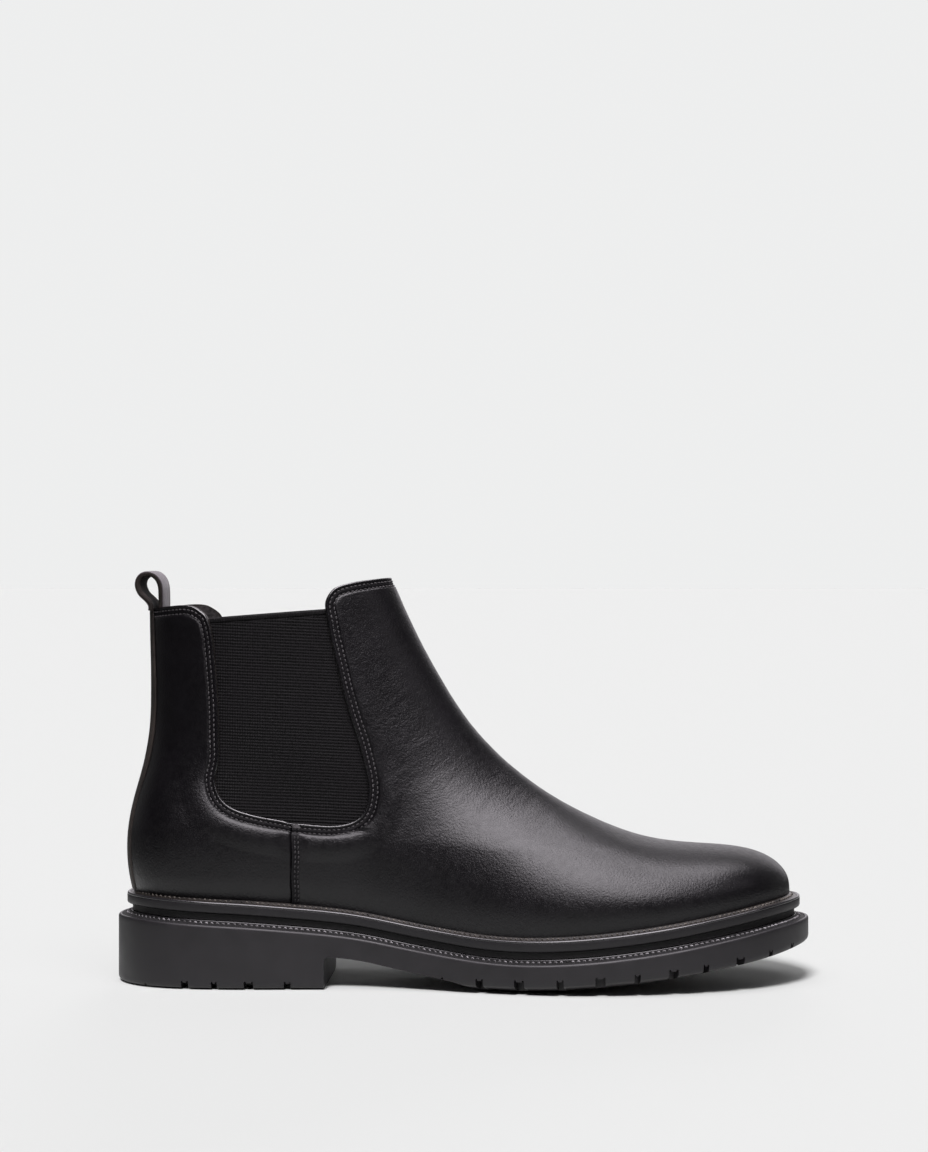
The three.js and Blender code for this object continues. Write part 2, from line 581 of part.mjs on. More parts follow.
// underside at a given inset: it rises towards the edge, more under the forefoot
const underAt = inset => x => {
  const fore = smooth(60, 110, x);
  const rise = lerp(0.8, 3.6 - 2.0 * smooth(170, 250, x), fore), width = 8 + 10 * fore;
  return under(x) + rise * clamp(1 - inset / width, 0, 1) ** 2;
};
function archCut() {
  const start = HEEL_BREAST + 2, steps = 14;
  const top = curve([
    [start, 14.1], [70, 12.6], [87, 9.0], [100, 6.6], [110, 4.6], [118, 2.2], [ARCH_END, -1],
  ]);
  const slope = range(steps).map(i => {
    const x = start + (ARCH_END - start) * (i + 1) / steps;
    return [x, top(x)];
  });
  const side = [
    [HEEL_BREAST, -6], [HEEL_BREAST, 12.6], [HEEL_BREAST + .6, 13.7], [start, 14.1],
    ...slope, [ARCH_END, -6],
  ];
  return extrude(side, 160).rotateX(Math.PI / 2).translate(0, 80, 0);
}
// plan of the heel pocket and core: chamfered in front, rounded at the back
function pocketPlan({ back, front, halfWidth, roundLength }) {
  const roundX = back + roundLength, chamferX = front - POCKET_CHAMFER;
  const chamferY = halfWidth - POCKET_CHAMFER;
  const round = [1, 2, 3, 4, 5].map(i => {
    const angle = Math.PI / 2 + Math.PI * i / 6;
    return [roundX + roundLength * Math.cos(angle), halfWidth * Math.sin(angle)];
  });
  return [
    [roundX, -halfWidth], [chamferX, -halfWidth], [front, -chamferY],
    [front, chamferY], [chamferX, halfWidth], [roundX, halfWidth], ...round,
  ];
}
const heelCore = () => extrude(pocketPlan({
  back: POCKET.back + CORE_GAP,
  front: POCKET.front - CORE_GAP,
  halfWidth: POCKET.halfWidth - CORE_GAP,
  roundLength: CORE_ROUND_LENGTH,
}), CORE_HEIGHT).translate(0, 0, POCKET.floor + CORE_GAP);

// a shallow groove across the sole opens into a deeper notch at both edges
const outlineSamples = range(1440).map(i => [i / 1440, outline(i / 1440)]);
function notchCuts(x, width, notchTop, grooveTop) {
  const below = -8;
  const off = sample => Math.abs(sample[1][0] - x);
  const turns = [-1, 1].map(side => outlineSamples
    .filter(([, point]) => side * point[1] > 0)
    .reduce((best, sample) => off(sample) < off(best) ? sample : best)[0]);
  const cuts = turns.map(turn => {
    const edge = offsetPoint(turn, 0), inside = offsetPoint(turn, NOTCH_DEPTH);
    return boxAt(-width / 2, width / 2, -12, NOTCH_DEPTH, below, notchTop)
      .rotateZ(Math.atan2(edge[0] - inside[0], inside[1] - edge[1]))
      .translate(edge[0], edge[1], 0);
  });
  if (x < 240) {   // the foremost notches have no groove
    const [outerY, innerY] = turns.map(turn => offsetPoint(turn, 24)[1]);
    cuts.push(boxAt(x - width / 2, x + width / 2, outerY - 17, innerY + 17, below, grooveTop));
  }
  return cuts;
}
function outsole() {
  const base = ringSolid([
    [16, over(RIM_TOP)], [6.0, over(RIM_TOP)], [0.7, over(0.1)], [0, over(-0.6)],
    [0, x => underAt(0)(x) + 1.4], [1.2, underAt(1.2)], [7, underAt(7)], [17, underAt(17)],
  ]);
  const cuts = [
    archCut(),
    extrude(pocketPlan(POCKET), 60).translate(0, 0, POCKET.floor),
    ...HEEL_NOTCHES.flatMap(([x, width]) => notchCuts(x, width, HEEL_NOTCH_RISE, GROOVE_RISE)),
    ...FORE_NOTCHES.flatMap(([x, width]) =>
      notchCuts(x, width, underAt(0)(x) + NOTCH_RISE, under(x) + GROOVE_RISE)),
  ];
  return fromSolid(cuts.reduce((body, cut) => body.subtract(solid(cut)), solid(base)));
}

// ---------------------------------------------------------------- assembly
const boot = new THREE.Group();
boot.name = 'chelsea_boot';
function add(name, geometry, surface) {
  const mesh = new THREE.Mesh(geometry, surface);
  mesh.name = name;
  boot.add(mesh);
}
const addPatch = (name, surface, layer, domain, columns, rows) =>
  add(name, patch(domain, columns, rows, layer), surface);

const stripBand = backBand(stripEdge, STRIP_BOTTOM, STRIP_TOP);
const vampBand = frontBand(frontLiningEdge, LINING_BOTTOM, FLEX_LEVEL - LINING_FLEX_GAP);
const shaftBand = frontBand(frontLiningEdge, FLEX_LEVEL + LINING_FLEX_GAP, LINING_TOP);
const quarterBand = backBand(quarterLiningEdge, LINING_BOTTOM, LINING_TOP);
const counterBand = backBand(counterEdge, STIFFENER_BOTTOM, COUNTER_TOP);
const puffBand = frontBand(puffEdge, STIFFENER_BOTTOM, PUFF_TOP);

addPatch('vamp', blackLeather(), LEATHER_LAYER, vampDomain, 28, 22);
addPatch('vamp_shaft', blackLeather(), LEATHER_LAYER, shaftDomain, 16, 11);
addPatch('quarter_lateral', blackLeather(), LEATHER_LAYER, quarterDomain, 10, 24);
addPatch('quarter_medial', blackLeather(), LEATHER_LAYER, onInner(quarterDomain), 10, 24);
addPatch('backstay', blackLeather(), STRIP_LAYER, stripBand, 6, 14);
addPatch('gore_lateral', elastic(), MIDDLE_LAYER, goreDomain, 8, 10);
addPatch('gore_medial', elastic(), MIDDLE_LAYER, onInner(goreDomain), 8, 10);
add('pull_loop', pullLoop(), blackLeather());
addPatch('vamp_lining', liningCloth(), LINING_LAYER, vampBand, 20, 12);
addPatch('shaft_lining_front', liningCloth(), LINING_LAYER, shaftBand, 10, 6);
addPatch('quarter_lining', liningCloth(), LINING_LAYER, quarterBand, 20, 14);
addPatch('heel_counter', stiffener(), MIDDLE_LAYER, counterBand, 16, 6);
addPatch('toe_puff', stiffener(), MIDDLE_LAYER, puffBand, 14, 5);
add('insole_board', soleLayer(INSOLE), board());
add('footbed', footbed(), sock());
add('cork_filler', soleLayer(CORK_FILLER), cork());
add('shank', shank(), steel());
add('welt', welt(), weltRubber());
add('midsole', soleLayer(MIDSOLE), rubber());
add('outsole', outsole(), rubber());
add('heel_core', heelCore(), cork());
add('welt_stitch', threadRing(WELT_STITCH), thread());
add('outsole_stitch', threadRing(OUTSOLE_STITCH), thread());

export default boot;
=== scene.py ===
"""A black pull-on ankle boot with an elastic gore in each side and a stitched, notched sole.

The heel is at -x and the toe at +x. The outer side is at -y and the inner side at +y, and
the ground is at z = 0. Shapes are worked out in millimetres and made into meshes in metres;
materials, lights and camera are in metres.
"""

import math
from functools import cached_property

import bmesh
import bpy
import numpy as np
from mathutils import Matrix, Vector


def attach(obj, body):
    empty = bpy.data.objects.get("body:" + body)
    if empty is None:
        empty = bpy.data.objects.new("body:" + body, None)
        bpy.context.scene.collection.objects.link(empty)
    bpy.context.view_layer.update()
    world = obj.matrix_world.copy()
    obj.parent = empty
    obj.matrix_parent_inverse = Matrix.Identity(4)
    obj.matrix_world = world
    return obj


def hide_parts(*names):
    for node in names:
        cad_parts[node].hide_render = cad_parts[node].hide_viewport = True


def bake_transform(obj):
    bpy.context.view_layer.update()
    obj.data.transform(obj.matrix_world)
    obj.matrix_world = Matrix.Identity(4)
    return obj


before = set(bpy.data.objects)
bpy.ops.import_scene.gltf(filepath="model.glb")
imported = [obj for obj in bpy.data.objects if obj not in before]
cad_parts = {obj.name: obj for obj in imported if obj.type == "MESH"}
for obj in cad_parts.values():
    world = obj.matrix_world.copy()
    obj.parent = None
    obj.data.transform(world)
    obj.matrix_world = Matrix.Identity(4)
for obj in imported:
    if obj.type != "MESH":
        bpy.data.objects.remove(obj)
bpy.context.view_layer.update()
FULL_TURN = 2 * math.pi
SIDES = (("lateral", False), ("medial", True))      # name, whether it is the inner side


# ---------------------------------------------------------------- small maths
class Spline:
    """Natural cubic spline through numbers or points, at rising knots."""

    def __init__(self, knots, values):
        self.knots = knots = np.array(knots, float)
        self.values = values = np.array(values, float)
        count = len(knots)
        step = np.diff(knots)
        matrix = np.zeros((count, count))
        right = np.zeros(values.shape)
        matrix[0, 0] = matrix[-1, -1] = 1
        for i in range(1, count - 1):
            matrix[i, i - 1:i + 2] = step[i - 1], 2 * (step[i - 1] + step[i]), step[i]
            right[i] = 6 * ((values[i + 1] - values[i]) / step[i]
                            - (values[i] - values[i - 1]) / step[i - 1])
        self.second = np.linalg.solve(matrix, right)

    def __call__(self, at):
        at = np.asarray(at, float)
        i = np.clip(np.searchsorted(self.knots, at) - 1, 0, len(self.knots) - 2)
        step = self.knots[i + 1] - self.knots[i]
        low = (self.knots[i + 1] - at) / step
        high = (at - self.knots[i]) / step
        if self.values.ndim > 1:
            low, high, step = low[..., None], high[..., None], step[..., None]
        bend = (low ** 3 - low) * self.second[i] + (high ** 3 - high) * self.second[i + 1]
        return low * self.values[i] + high * self.values[i + 1] + bend * step * step / 6


def ease(start, end, value):
    """Smooth step from 0 at start to 1 at end."""
    share = np.clip((np.asarray(value, float) - start) / (end - start), 0, 1)
    return share * share * (3 - 2 * share)


def bell(value, centre, width):
    return np.exp(-(((value - centre) / width) ** 2))


def mix(start, end, share):
    return start + (end - start) * share


def unit(vectors):
    return vectors / np.maximum(np.linalg.norm(vectors, axis=-1, keepdims=True), 1e-9)


def lengths(points, scale=1.0, power=1.0):
    """Running sum of the steps along a polyline, each step scaled and raised to power."""
    steps = np.hypot.reduce(np.diff(points, axis=0) * scale, axis=1)
    return np.r_[0, np.cumsum(steps ** power)]


def value_noise(points, scale, seed):
    """Smooth random values from -1 to 1, on cells of the given size."""
    size = 32
    table = np.random.default_rng(seed).random((size, size, size))
    scaled = points / scale
    cell = np.floor(scaled).astype(int)
    part = scaled - cell
    part = part * part * (3 - 2 * part)
    total = 0
    for corner in np.ndindex(2, 2, 2):
        weight = np.prod(np.where(corner, part, 1 - part), axis=-1)
        total = total + weight * table[tuple(np.moveaxis((cell + corner) % size, -1, 0))]
    return total * 2 - 1


# ---------------------------------------------------------------- sole outline and heights
# (x, y) round the sole, from the back along the outer side to the toe and back
OUTLINE = [
    (-40, 0), (-38.2, -12), (-31, -24.5), (-18, -33.5), (0, -37.5), (22, -38), (48, -36.5),
    (75, -37), (100, -41), (125, -48), (150, -54), (175, -56), (200, -53.5), (224, -46.5),
    (243, -36.5), (256, -24), (264, -9), (266, 4), (263.5, 16.5), (256, 28), (243, 38.5),
    (225, 46), (203, 50.5), (180, 51.5), (157, 49), (133, 42), (108, 34), (83, 30.5),
    (57, 32), (30, 36), (5, 37.5), (-16, 34), (-30.5, 25), (-38, 12.5)]
SOLE_BACK, SOLE_FRONT = -40, 266
LEAD = 4        # points repeated before the start, so that the curve closes smoothly
closed_points = OUTLINE[-LEAD:] + OUTLINE + OUTLINE[:LEAD + 1]
outline_curve = Spline(lengths(closed_points, power=0.5), closed_points)
OUTLINE_START, OUTLINE_END = outline_curve.knots[[LEAD, LEAD + len(OUTLINE)]]

# height of the top rim of the sole, by x
RIM = Spline(
    [-40, -30, -18, 0, 18, 35, 52, 70, 87, 105, 122, 139, 156, 173, 190, 207, 224, 238, 249, 266],
    [29.1, 29.2, 28.7, 27.7, 26.8, 25.5, 24.0, 21.8, 18.7, 15.7, 13.6, 12.9, 13.5, 14.9, 16.9,
     19.3, 22.2, 24.7, 26.6, 28.6])
# height of the underside in front of the arch, by x
UNDERSIDE_START = 96
UNDERSIDE = Spline([UNDERSIDE_START, 110, 122, 139, 156, 173, 190, 207, 224, 238, 249, 266],
                   [0, 0, 0, 0, 0.7, 2.1, 3.9, 6.2, 9.0, 11.6, 13.8, 17.4])


def outline(share):
    """Point on the sole outline, at a share of the way round."""
    return outline_curve(mix(OUTLINE_START, OUTLINE_END, np.asarray(share) % 1.0))


def rim(x):
    return RIM(np.clip(x, SOLE_BACK, SOLE_FRONT))


def underside(x):
    x = np.asarray(x, float)
    return np.where(x < UNDERSIDE_START, 0.0,
                    UNDERSIDE(np.clip(x, UNDERSIDE_START, SOLE_FRONT)))


def crown(x, inset):
    """How far the underside curls up near its edge."""
    front = ease(60, 110, x)
    rise = 0.8 * (1 - front) + (3.6 - 2.0 * ease(170, 250, x)) * front
    return rise * np.clip(1 - inset / (8 + 10 * front), 0, 1) ** 2


def offset_outline(shares, inset):
    step = 1e-4
    along = outline(shares + step) - outline(shares - step)
    length = np.hypot(along[:, 0], along[:, 1])[:, None]
    return outline(shares) + np.stack([-along[:, 1], along[:, 0]], 1) / length * inset


def even_shares(count):
    """Shares that lie evenly by length round the outline."""
    shares = np.arange(6001) / 6000
    travelled = lengths(outline(shares))
    return np.interp(travelled[-1] * np.arange(count) / count, travelled, shares)


# ---------------------------------------------------------------- surface of the upper
# A place on the upper is (phi, rise). phi runs 0 at the back, pi at the front along the
# outer side, and on to a full turn along the inner side. rise is 0 at the foot, 1 at the top.
# (x, z) up the front of the boot, by rise
FRONT_LINE = Spline(
    [0, .03, .06, .1, .15, .22, .3, .4, .5, .6, .7, .8, .9, 1],
    [[257.38, 38.81], [256.34, 45.94], [251.9, 51.65], [243.39, 56.22], [231.52, 58.66],
     [214.61, 59.88], [195.36, 62.43], [172.54, 70.48], [151.07, 81.72], [131.93, 96.6],
     [115.38, 114.28], [102.4, 134.76], [91.04, 156.18], [81.24, 178.36]])
# (x, z) up the back of the boot, by rise
BACK_LINE = Spline(
    [0, .1, .2, .32, .45, .6, .8, 1],
    [[-32.86, 39.6], [-34.8, 50.04], [-35.2, 62.87], [-32.8, 78.2], [-28.4, 94.44],
     [-25.35, 113.49], [-25.0, 139.22], [-25.5, 164.98]])
HEEL_X, TOE_X = BACK_LINE.values[0, 0], FRONT_LINE.values[0, 0]
MIDDLE_X = 25.0
SHAFT_MIDDLE_X = MIDDLE_X + 2.5
FOOT_INSET, FOOT_RISE = 8.7, 10.9     # bottom edge of the upper, from the outline and rim
# y of the centre line, by x
CENTRE = Spline([-40, 60, 110, 150, 200, 235, 266], [0, 0, 0, .8, 2.6, 4.2, 4.8])
# share added to the width by rise, at the heel and at the forefoot
HEEL_BULGE = Spline([0, .05, .1, .2, .3, .4, .5, 1], [0, .075, .10, .11, .08, .03, 0, 0])
FORE_BULGE = Spline([0, .04, .08, .15, .3, .5, 1], [0, .035, .05, .055, .05, .04, .03])
SHAFT_WIDTH = Spline([0, .3, .45, .6, .8, 1], [31, 31, 30.5, 30.0, 29.5, 29.5])
CLOSING = math.pi - .14               # from here the width closes to nothing at the front


def centre_y(x):
    return CENTRE(np.clip(x, SOLE_BACK, SOLE_FRONT))


def half_widths():
    """Half width of the foot of the upper by phi, on the outer and the inner side."""
    ring = offset_outline(np.arange(600) / 600, FOOT_INSET)
    low, high = ring[:, 0].min(), ring[:, 0].max()
    ring[:, 0] = HEEL_X + (ring[:, 0] - low) * (TOE_X - HEEL_X) / (high - low)
    ring = np.roll(ring, -ring[:, 0].argmin(), axis=0)
    toe = ring[:, 0].argmax()
    phi = np.linspace(0, math.pi, 25)
    x = HEEL_X + (TOE_X - HEEL_X) * (1 - np.cos(phi)) / 2
    widths = []
    for half, sign in ((ring[:toe + 1], -1), (np.vstack([ring[toe:], ring[:1]]), 1)):
        half = half[np.argsort(half[:, 0])]
        width = sign * (np.interp(x, half[:, 0], half[:, 1]) - centre_y(x))
        width[0] = width[-1] = 0
        widths.append(Spline(phi, width))
    return widths


OUTER_WIDTH, INNER_WIDTH = half_widths()
RIDGE = FRONT_LINE(np.linspace(0, 1, 1601))[::-1]


def stations(angle, rise):
    """x of the back and of the front at this rise, then x and z at the angle from the back."""
    back, front = BACK_LINE(rise), FRONT_LINE(rise)
    share = (1 - np.cos(angle)) / 2
    x = mix(back[..., 0], front[..., 0], share)
    bow = rim(mix(HEEL_X, TOE_X, share)) - mix(rim(HEEL_X), rim(TOE_X), share)
    z = mix(back[..., 1], front[..., 1], share) + bow * np.clip(1 - rise / .5, 0, 1) ** 2
    return back[..., 0], front[..., 0], x, z


def surface(phi, rise):
    phi, rise = np.broadcast_arrays(np.asarray(phi, float), np.asarray(rise, float))
    turned = np.mod(phi, FULL_TURN)
    side = np.where(turned <= math.pi, -1.0, 1.0)
    angle = np.where(side < 0, turned, FULL_TURN - turned)

    # the foot: the plan width, rounded over towards the ridge
    back_x, _, x, z = stations(np.minimum(angle, CLOSING), rise)
    heelward = (MIDDLE_X - x) * (MIDDLE_X - HEEL_X) / (MIDDLE_X - back_x)
    foot_x = np.where(x < MIDDLE_X, MIDDLE_X - heelward, x)
    foot_phi = np.arccos(np.clip(1 - 2 * (foot_x - HEEL_X) / (TOE_X - HEEL_X), -1, 1))
    width = np.where(side < 0, OUTER_WIDTH(foot_phi), INNER_WIDTH(foot_phi))
    instep = np.exp(-((x - 84) / 34) ** 2) * ease(.03, .3, rise)
    width = width * (1 + np.where(side > 0, .17, .03) * instep)
    fore = ease(40, 120, x)
    width = width * (1 + HEEL_BULGE(rise) * (1 - fore) + FORE_BULGE(rise) * fore)
    foot_z = rim(x) + FOOT_RISE
    ridge_z = np.interp(x, RIDGE[:, 0], RIDGE[:, 1])
    level = np.clip((z - foot_z) / np.maximum(ridge_z - foot_z, 1e-6), 0, 1)
    power = np.interp(x, [90, 115, 150, 200, 250], [1.45, 1.6, 1.9, 2.5, 2.9])
    dome = np.sqrt(np.clip(1 - level ** power, 0, 1))
    dome = np.where(x < 60, 1.0, np.where(x < 81.3, mix(1, dome, ease(60, 81.3, x)), dome))
    closing = np.where(angle > CLOSING, np.sin(angle) / math.sin(CLOSING), 1.0)
    foot_width = width * dome * closing

    # the shaft: a rounded tube
    back_x, front_x, x, z = stations(angle, rise)
    behind = x < SHAFT_MIDDLE_X
    reach = np.where(behind, (SHAFT_MIDDLE_X - x) / (SHAFT_MIDDLE_X - back_x),
                     (x - SHAFT_MIDDLE_X) / (front_x - SHAFT_MIDDLE_X))
    oval = 1 - np.clip(reach, 0, 1) ** np.where(behind, 2.1, 2.05)
    shaft_width = SHAFT_WIDTH(rise) * np.sqrt(np.clip(oval, 0, 1))

    shaft = ease(.25, .62, rise)
    y = centre_y(x) * (1 - shaft) + side * mix(foot_width, shaft_width, shaft)
    return np.stack([x, y, z], -1)


def normals(phi, rise):
    step = 2e-3
    across = surface(phi + step, rise) - surface(phi - step, rise)
    up = surface(phi, np.minimum(rise + step, 1)) - surface(phi, np.maximum(rise - step, 0))
    return unit(np.cross(across, up))


def mirror(phi, inner):
    return FULL_TURN - phi if inner else phi


def fold(phi):
    """The same place on the outer side."""
    return np.minimum(phi, FULL_TURN - phi)


# ---------------------------------------------------------------- edges of the leather
# Each table holds (phi, rise) on the outer side; the inner side mirrors it.
CORNER = (1.212, .3085)               # bottom of the gore, where the side seam ends
SEAM = [(1.045, 0), (1.068, .064), (1.134, .174), (1.181, .261), CORNER]
GORE_FRONT = [
    (1.257, .309), (1.319, .309), (1.388, .315), (1.448, .329), (1.503, .351), (1.56, .386),
    (1.621, .435), (1.676, .484), (1.725, .535), (1.747, .56), (1.791, .61), (1.835, .67),
    (1.869, .724), (1.906, .787), (1.945, .847), (1.974, .895), (2.0, .93)]
TAB_CORNER = [(2.012, .948), (2.03, .962), (2.063, .974)]
TAB_TOP = [TAB_CORNER[-1], (2.139, .989), (2.27, .997), (2.6, 1), (math.pi, 1)]
GORE_BACK = [
    (1.162, .316), (1.097, .322), (1.029, .331), (.958, .347), (.914, .369), (.885, .404),
    (.878, .449), (.903, .494), (.945, .602), (.992, .703), (1.026, .799), (1.045, .86),
    (1.052, .892), (1.05, .925), (1.029, .955), (.987, .970)]
QUARTER_TOP = [(0, .995), (.652, .995), (.846, .991), (.922, .984), GORE_BACK[-1]]
UNDERLAP = .055                       # phi by which the quarter runs on under the vamp


class EdgeLine:
    """Smooth curve through (phi, rise) parts that meet end to end, by its own length."""

    def __init__(self, *parts, phi_scale=70.0):
        scale = (phi_scale, 170.0)    # rough millimetres per unit of phi and of rise
        pieces = []
        for part in parts:
            knots = lengths(part, scale)
            piece = Spline(knots, part)(np.linspace(0, knots[-1], 400))
            pieces.append(piece[1:] if pieces else piece)
        self.places = np.vstack(pieces)
        travelled = lengths(self.places, scale)
        self.shares = travelled / travelled[-1]

    def __call__(self, share):
        return np.stack([np.interp(share, self.shares, column) for column in self.places.T], -1)

    def both_sides(self, count):
        """The line on the surface, on the outer and on the inner side."""
        phi, rise = self(np.linspace(0, 1, count)).T
        return [surface(mirror(phi, inner), rise) for _, inner in SIDES]


seam_line = EdgeLine(SEAM)
vamp_side = EdgeLine(SEAM, [CORNER] + GORE_FRONT + TAB_CORNER)
vamp_edge = EdgeLine([CORNER] + GORE_FRONT + TAB_CORNER + TAB_TOP[1:])
quarter_edge = EdgeLine([CORNER] + GORE_BACK + QUARTER_TOP[::-1][1:])
hidden_corner = (CORNER[0] + UNDERLAP, .3)
quarter_side = EdgeLine([(phi + UNDERLAP, rise) for phi, rise in SEAM[:-1]] + [hidden_corner],
                        [hidden_corner, (CORNER[0] + .02, .3068), CORNER] + GORE_BACK)
tab_top = EdgeLine(TAB_TOP, phi_scale=40)
quarter_top = EdgeLine(QUARTER_TOP)


def distance_to(points, curves, reach=16.0):
    """Distance from each point to the nearest of the dense polylines, at most reach."""
    flat = points.reshape(-1, 3)
    nearest = np.full(len(flat), reach)
    for curve in curves:
        low, high = curve.min(0) - reach, curve.max(0) + reach
        close = np.where(((flat > low) & (flat < high)).all(1))[0]
        for start in range(0, len(close), 4000):
            chunk = close[start:start + 4000]
            gaps = np.linalg.norm(flat[chunk][:, None, :] - curve[None, :, :], axis=2)
            nearest[chunk] = np.minimum(nearest[chunk], gaps.min(1))
    return nearest.reshape(points.shape[:-1])


# ---------------------------------------------------------------- shader node helpers
class Nodes:
    """Adds nodes to a shader tree."""

    def __init__(self, tree):
        self.tree = tree

    def fill(self, node, inputs):
        """Link the inputs that are given an output socket, and set the others."""
        for key, value in inputs.items():
            if isinstance(value, bpy.types.NodeSocket):
                self.tree.links.new(value, node.inputs[key])
            else:
                node.inputs[key].default_value = value

    def add(self, kind, inputs=None, **settings):
        node = self.tree.nodes.new("ShaderNode" + kind)
        for key, value in settings.items():
            setattr(node, key, value)
        self.fill(node, inputs or {})
        return node

    def map_range(self, value, start, end, low=0.0, high=1.0, **settings):
        inputs = {"Value": value, "From Min": start, "From Max": end,
                  "To Min": low, "To Max": high}
        return self.add("MapRange", inputs, **settings).outputs["Result"]

    def mix(self, share, first, second):
        inputs = {0: share, 2: first, 3: second}
        return self.add("Mix", inputs, data_type="FLOAT").outputs[0]


class Surface(Nodes):
    """A Principled material, textured in object space."""

    def __init__(self, name, colour, roughness, specular=0.5, coat=0.0, coat_roughness=0.2,
                 sheen=0.0, metallic=0.0):
        self.material = bpy.data.materials.new(name)
        self.material.use_nodes = True
        super().__init__(self.material.node_tree)
        self.shader = self.tree.nodes["Principled BSDF"]
        self.set(**{"Base Color": (*colour, 1), "Roughness": roughness,
                    "Metallic": metallic, "Specular IOR Level": specular,
                    "Coat Weight": coat, "Coat Roughness": coat_roughness,
                    "Sheen Weight": sheen})

    def set(self, **inputs):
        self.fill(self.shader, inputs)

    @cached_property
    def coords(self):
        return self.add("TexCoord").outputs["Object"]

    def noise(self, scale, detail=3.0, roughness=0.5, stretch=None, turn=(0, 0, 0)):
        vector = self.coords
        if stretch:
            inputs = {"Vector": vector, "Scale": stretch, "Rotation": turn}
            vector = self.add("Mapping", inputs).outputs["Vector"]
        inputs = {"Vector": vector, "Scale": scale, "Detail": detail, "Roughness": roughness}
        return self.add("TexNoise", inputs).outputs["Fac"]

    def two_tone(self, value, dark, light, start=0.3, end=0.7):
        """Drive the base colour from dark to light."""
        node = self.add("ValToRGB", {"Fac": value})
        stops = zip(node.color_ramp.elements, (start, end), (dark, light))
        for element, position, colour in stops:
            element.position = position
            element.color = (*colour, 1)
        self.set(**{"Base Color": node.outputs["Color"]})

    def roughen(self, value, low, high):
        self.set(Roughness=self.map_range(value, 0.3, 0.7, low, high))

    def bump(self, height, strength, distance):
        """Add a bump on top of those the shader has; distance is in metres."""
        inputs = {"Height": height, "Strength": strength, "Distance": distance}
        earlier = self.shader.inputs["Normal"].links
        if earlier:
            inputs["Normal"] = earlier[0].from_socket
        self.set(Normal=self.add("Bump", inputs).outputs["Normal"])


def leather(name, dark=(0.0022, 0.0019, 0.0025), light=(0.0042, 0.0037, 0.0047),
            roughness=0.325, grain=0.6, specular=0.38, coat=0.05, seams=False):
    """Grained leather; seams makes it answer to the mesh's seam and edge attributes."""
    made = Surface(name, dark, roughness, specular=specular, coat=coat, coat_roughness=0.25)
    made.two_tone(made.noise(scale=55), dark, light)
    pebbles = made.noise(scale=1000, detail=2, roughness=0.4)
    fine = made.noise(scale=1500, detail=3, roughness=0.6)
    medium = made.noise(scale=380, detail=4, roughness=0.55)
    creases = made.noise(scale=400, detail=4, roughness=0.62,
                         stretch=(1.0, 1.0, 0.20), turn=(0.0, 0.75, 0.0))
    rough = made.map_range(medium, 0.3, 0.7, roughness - 0.045, roughness + 0.06)
    if seams:
        seam, edge = (made.add("Attribute", attribute_name=key).outputs["Fac"]
                      for key in ("seam", "edge"))

        def masked(plain, on_seam, on_edge):
            return made.mix(edge, made.mix(seam, plain, on_seam), on_edge)

        rough = masked(rough, on_seam=0.55, on_edge=0.17)
        made.set(**{
            "Specular IOR Level": masked(specular, on_seam=specular * 0.35, on_edge=0.7),
            "Coat Weight": masked(coat, on_seam=0.0, on_edge=0.55)})
    made.set(Roughness=rough)
    made.bump(pebbles, strength=grain, distance=0.00017)
    made.bump(fine, strength=grain, distance=0.00019)
    made.bump(medium, strength=0.10, distance=0.00014)
    made.bump(creases, strength=0.15, distance=0.00020)
    return made


def rubber(name, dark, light, roughness, specular=0.45, grain=0.12):
    made = Surface(name, dark, roughness, specular=specular)
    patches = made.noise(scale=120, detail=4)
    made.two_tone(patches, dark, light)
    made.roughen(patches, roughness - 0.04, roughness + 0.05)
    made.bump(made.noise(scale=2200, detail=2), strength=grain, distance=0.00008)
    return made


def fabric(name, dark, light, roughness=0.85, scale=1400, sheen=0.2, depth=0.00015):
    """Fibrous matter; depth is how deep its weave is, in metres."""
    made = Surface(name, dark, roughness, specular=0.3, sheen=sheen)
    weave = made.noise(scale=scale)
    patches = made.noise(scale=90)
    made.two_tone(made.mix(0.4, weave, patches), dark, light, start=0.35, end=0.65)
    made.roughen(patches, roughness - 0.06, min(roughness + 0.08, 1))
    made.bump(weave, strength=0.5, distance=depth)
    return made


def elastic():
    made = fabric("gore_elastic", dark=(0.0010, 0.0009, 0.0010), light=(0.0056, 0.0051, 0.0057),
                  roughness=0.66, scale=1500, sheen=0.01, depth=0.00035)
    bands = made.add("TexWave", {"Vector": made.coords, "Scale": 285.0,
                                 "Distortion": 1.2, "Detail": 2.0})
    made.bump(bands.outputs["Fac"], strength=0.35, distance=0.0004)
    made.set(**{"Specular IOR Level": 0.14})
    return made


def steel():
    made = Surface("spring_steel", (0.32, 0.33, 0.34), roughness=0.32, metallic=1.0)
    brushing = made.noise(scale=300, stretch=(0.04, 1, 1))
    made.roughen(brushing, 0.24, 0.44)
    made.two_tone(brushing, dark=(0.26, 0.27, 0.28), light=(0.42, 0.43, 0.44))
    return made


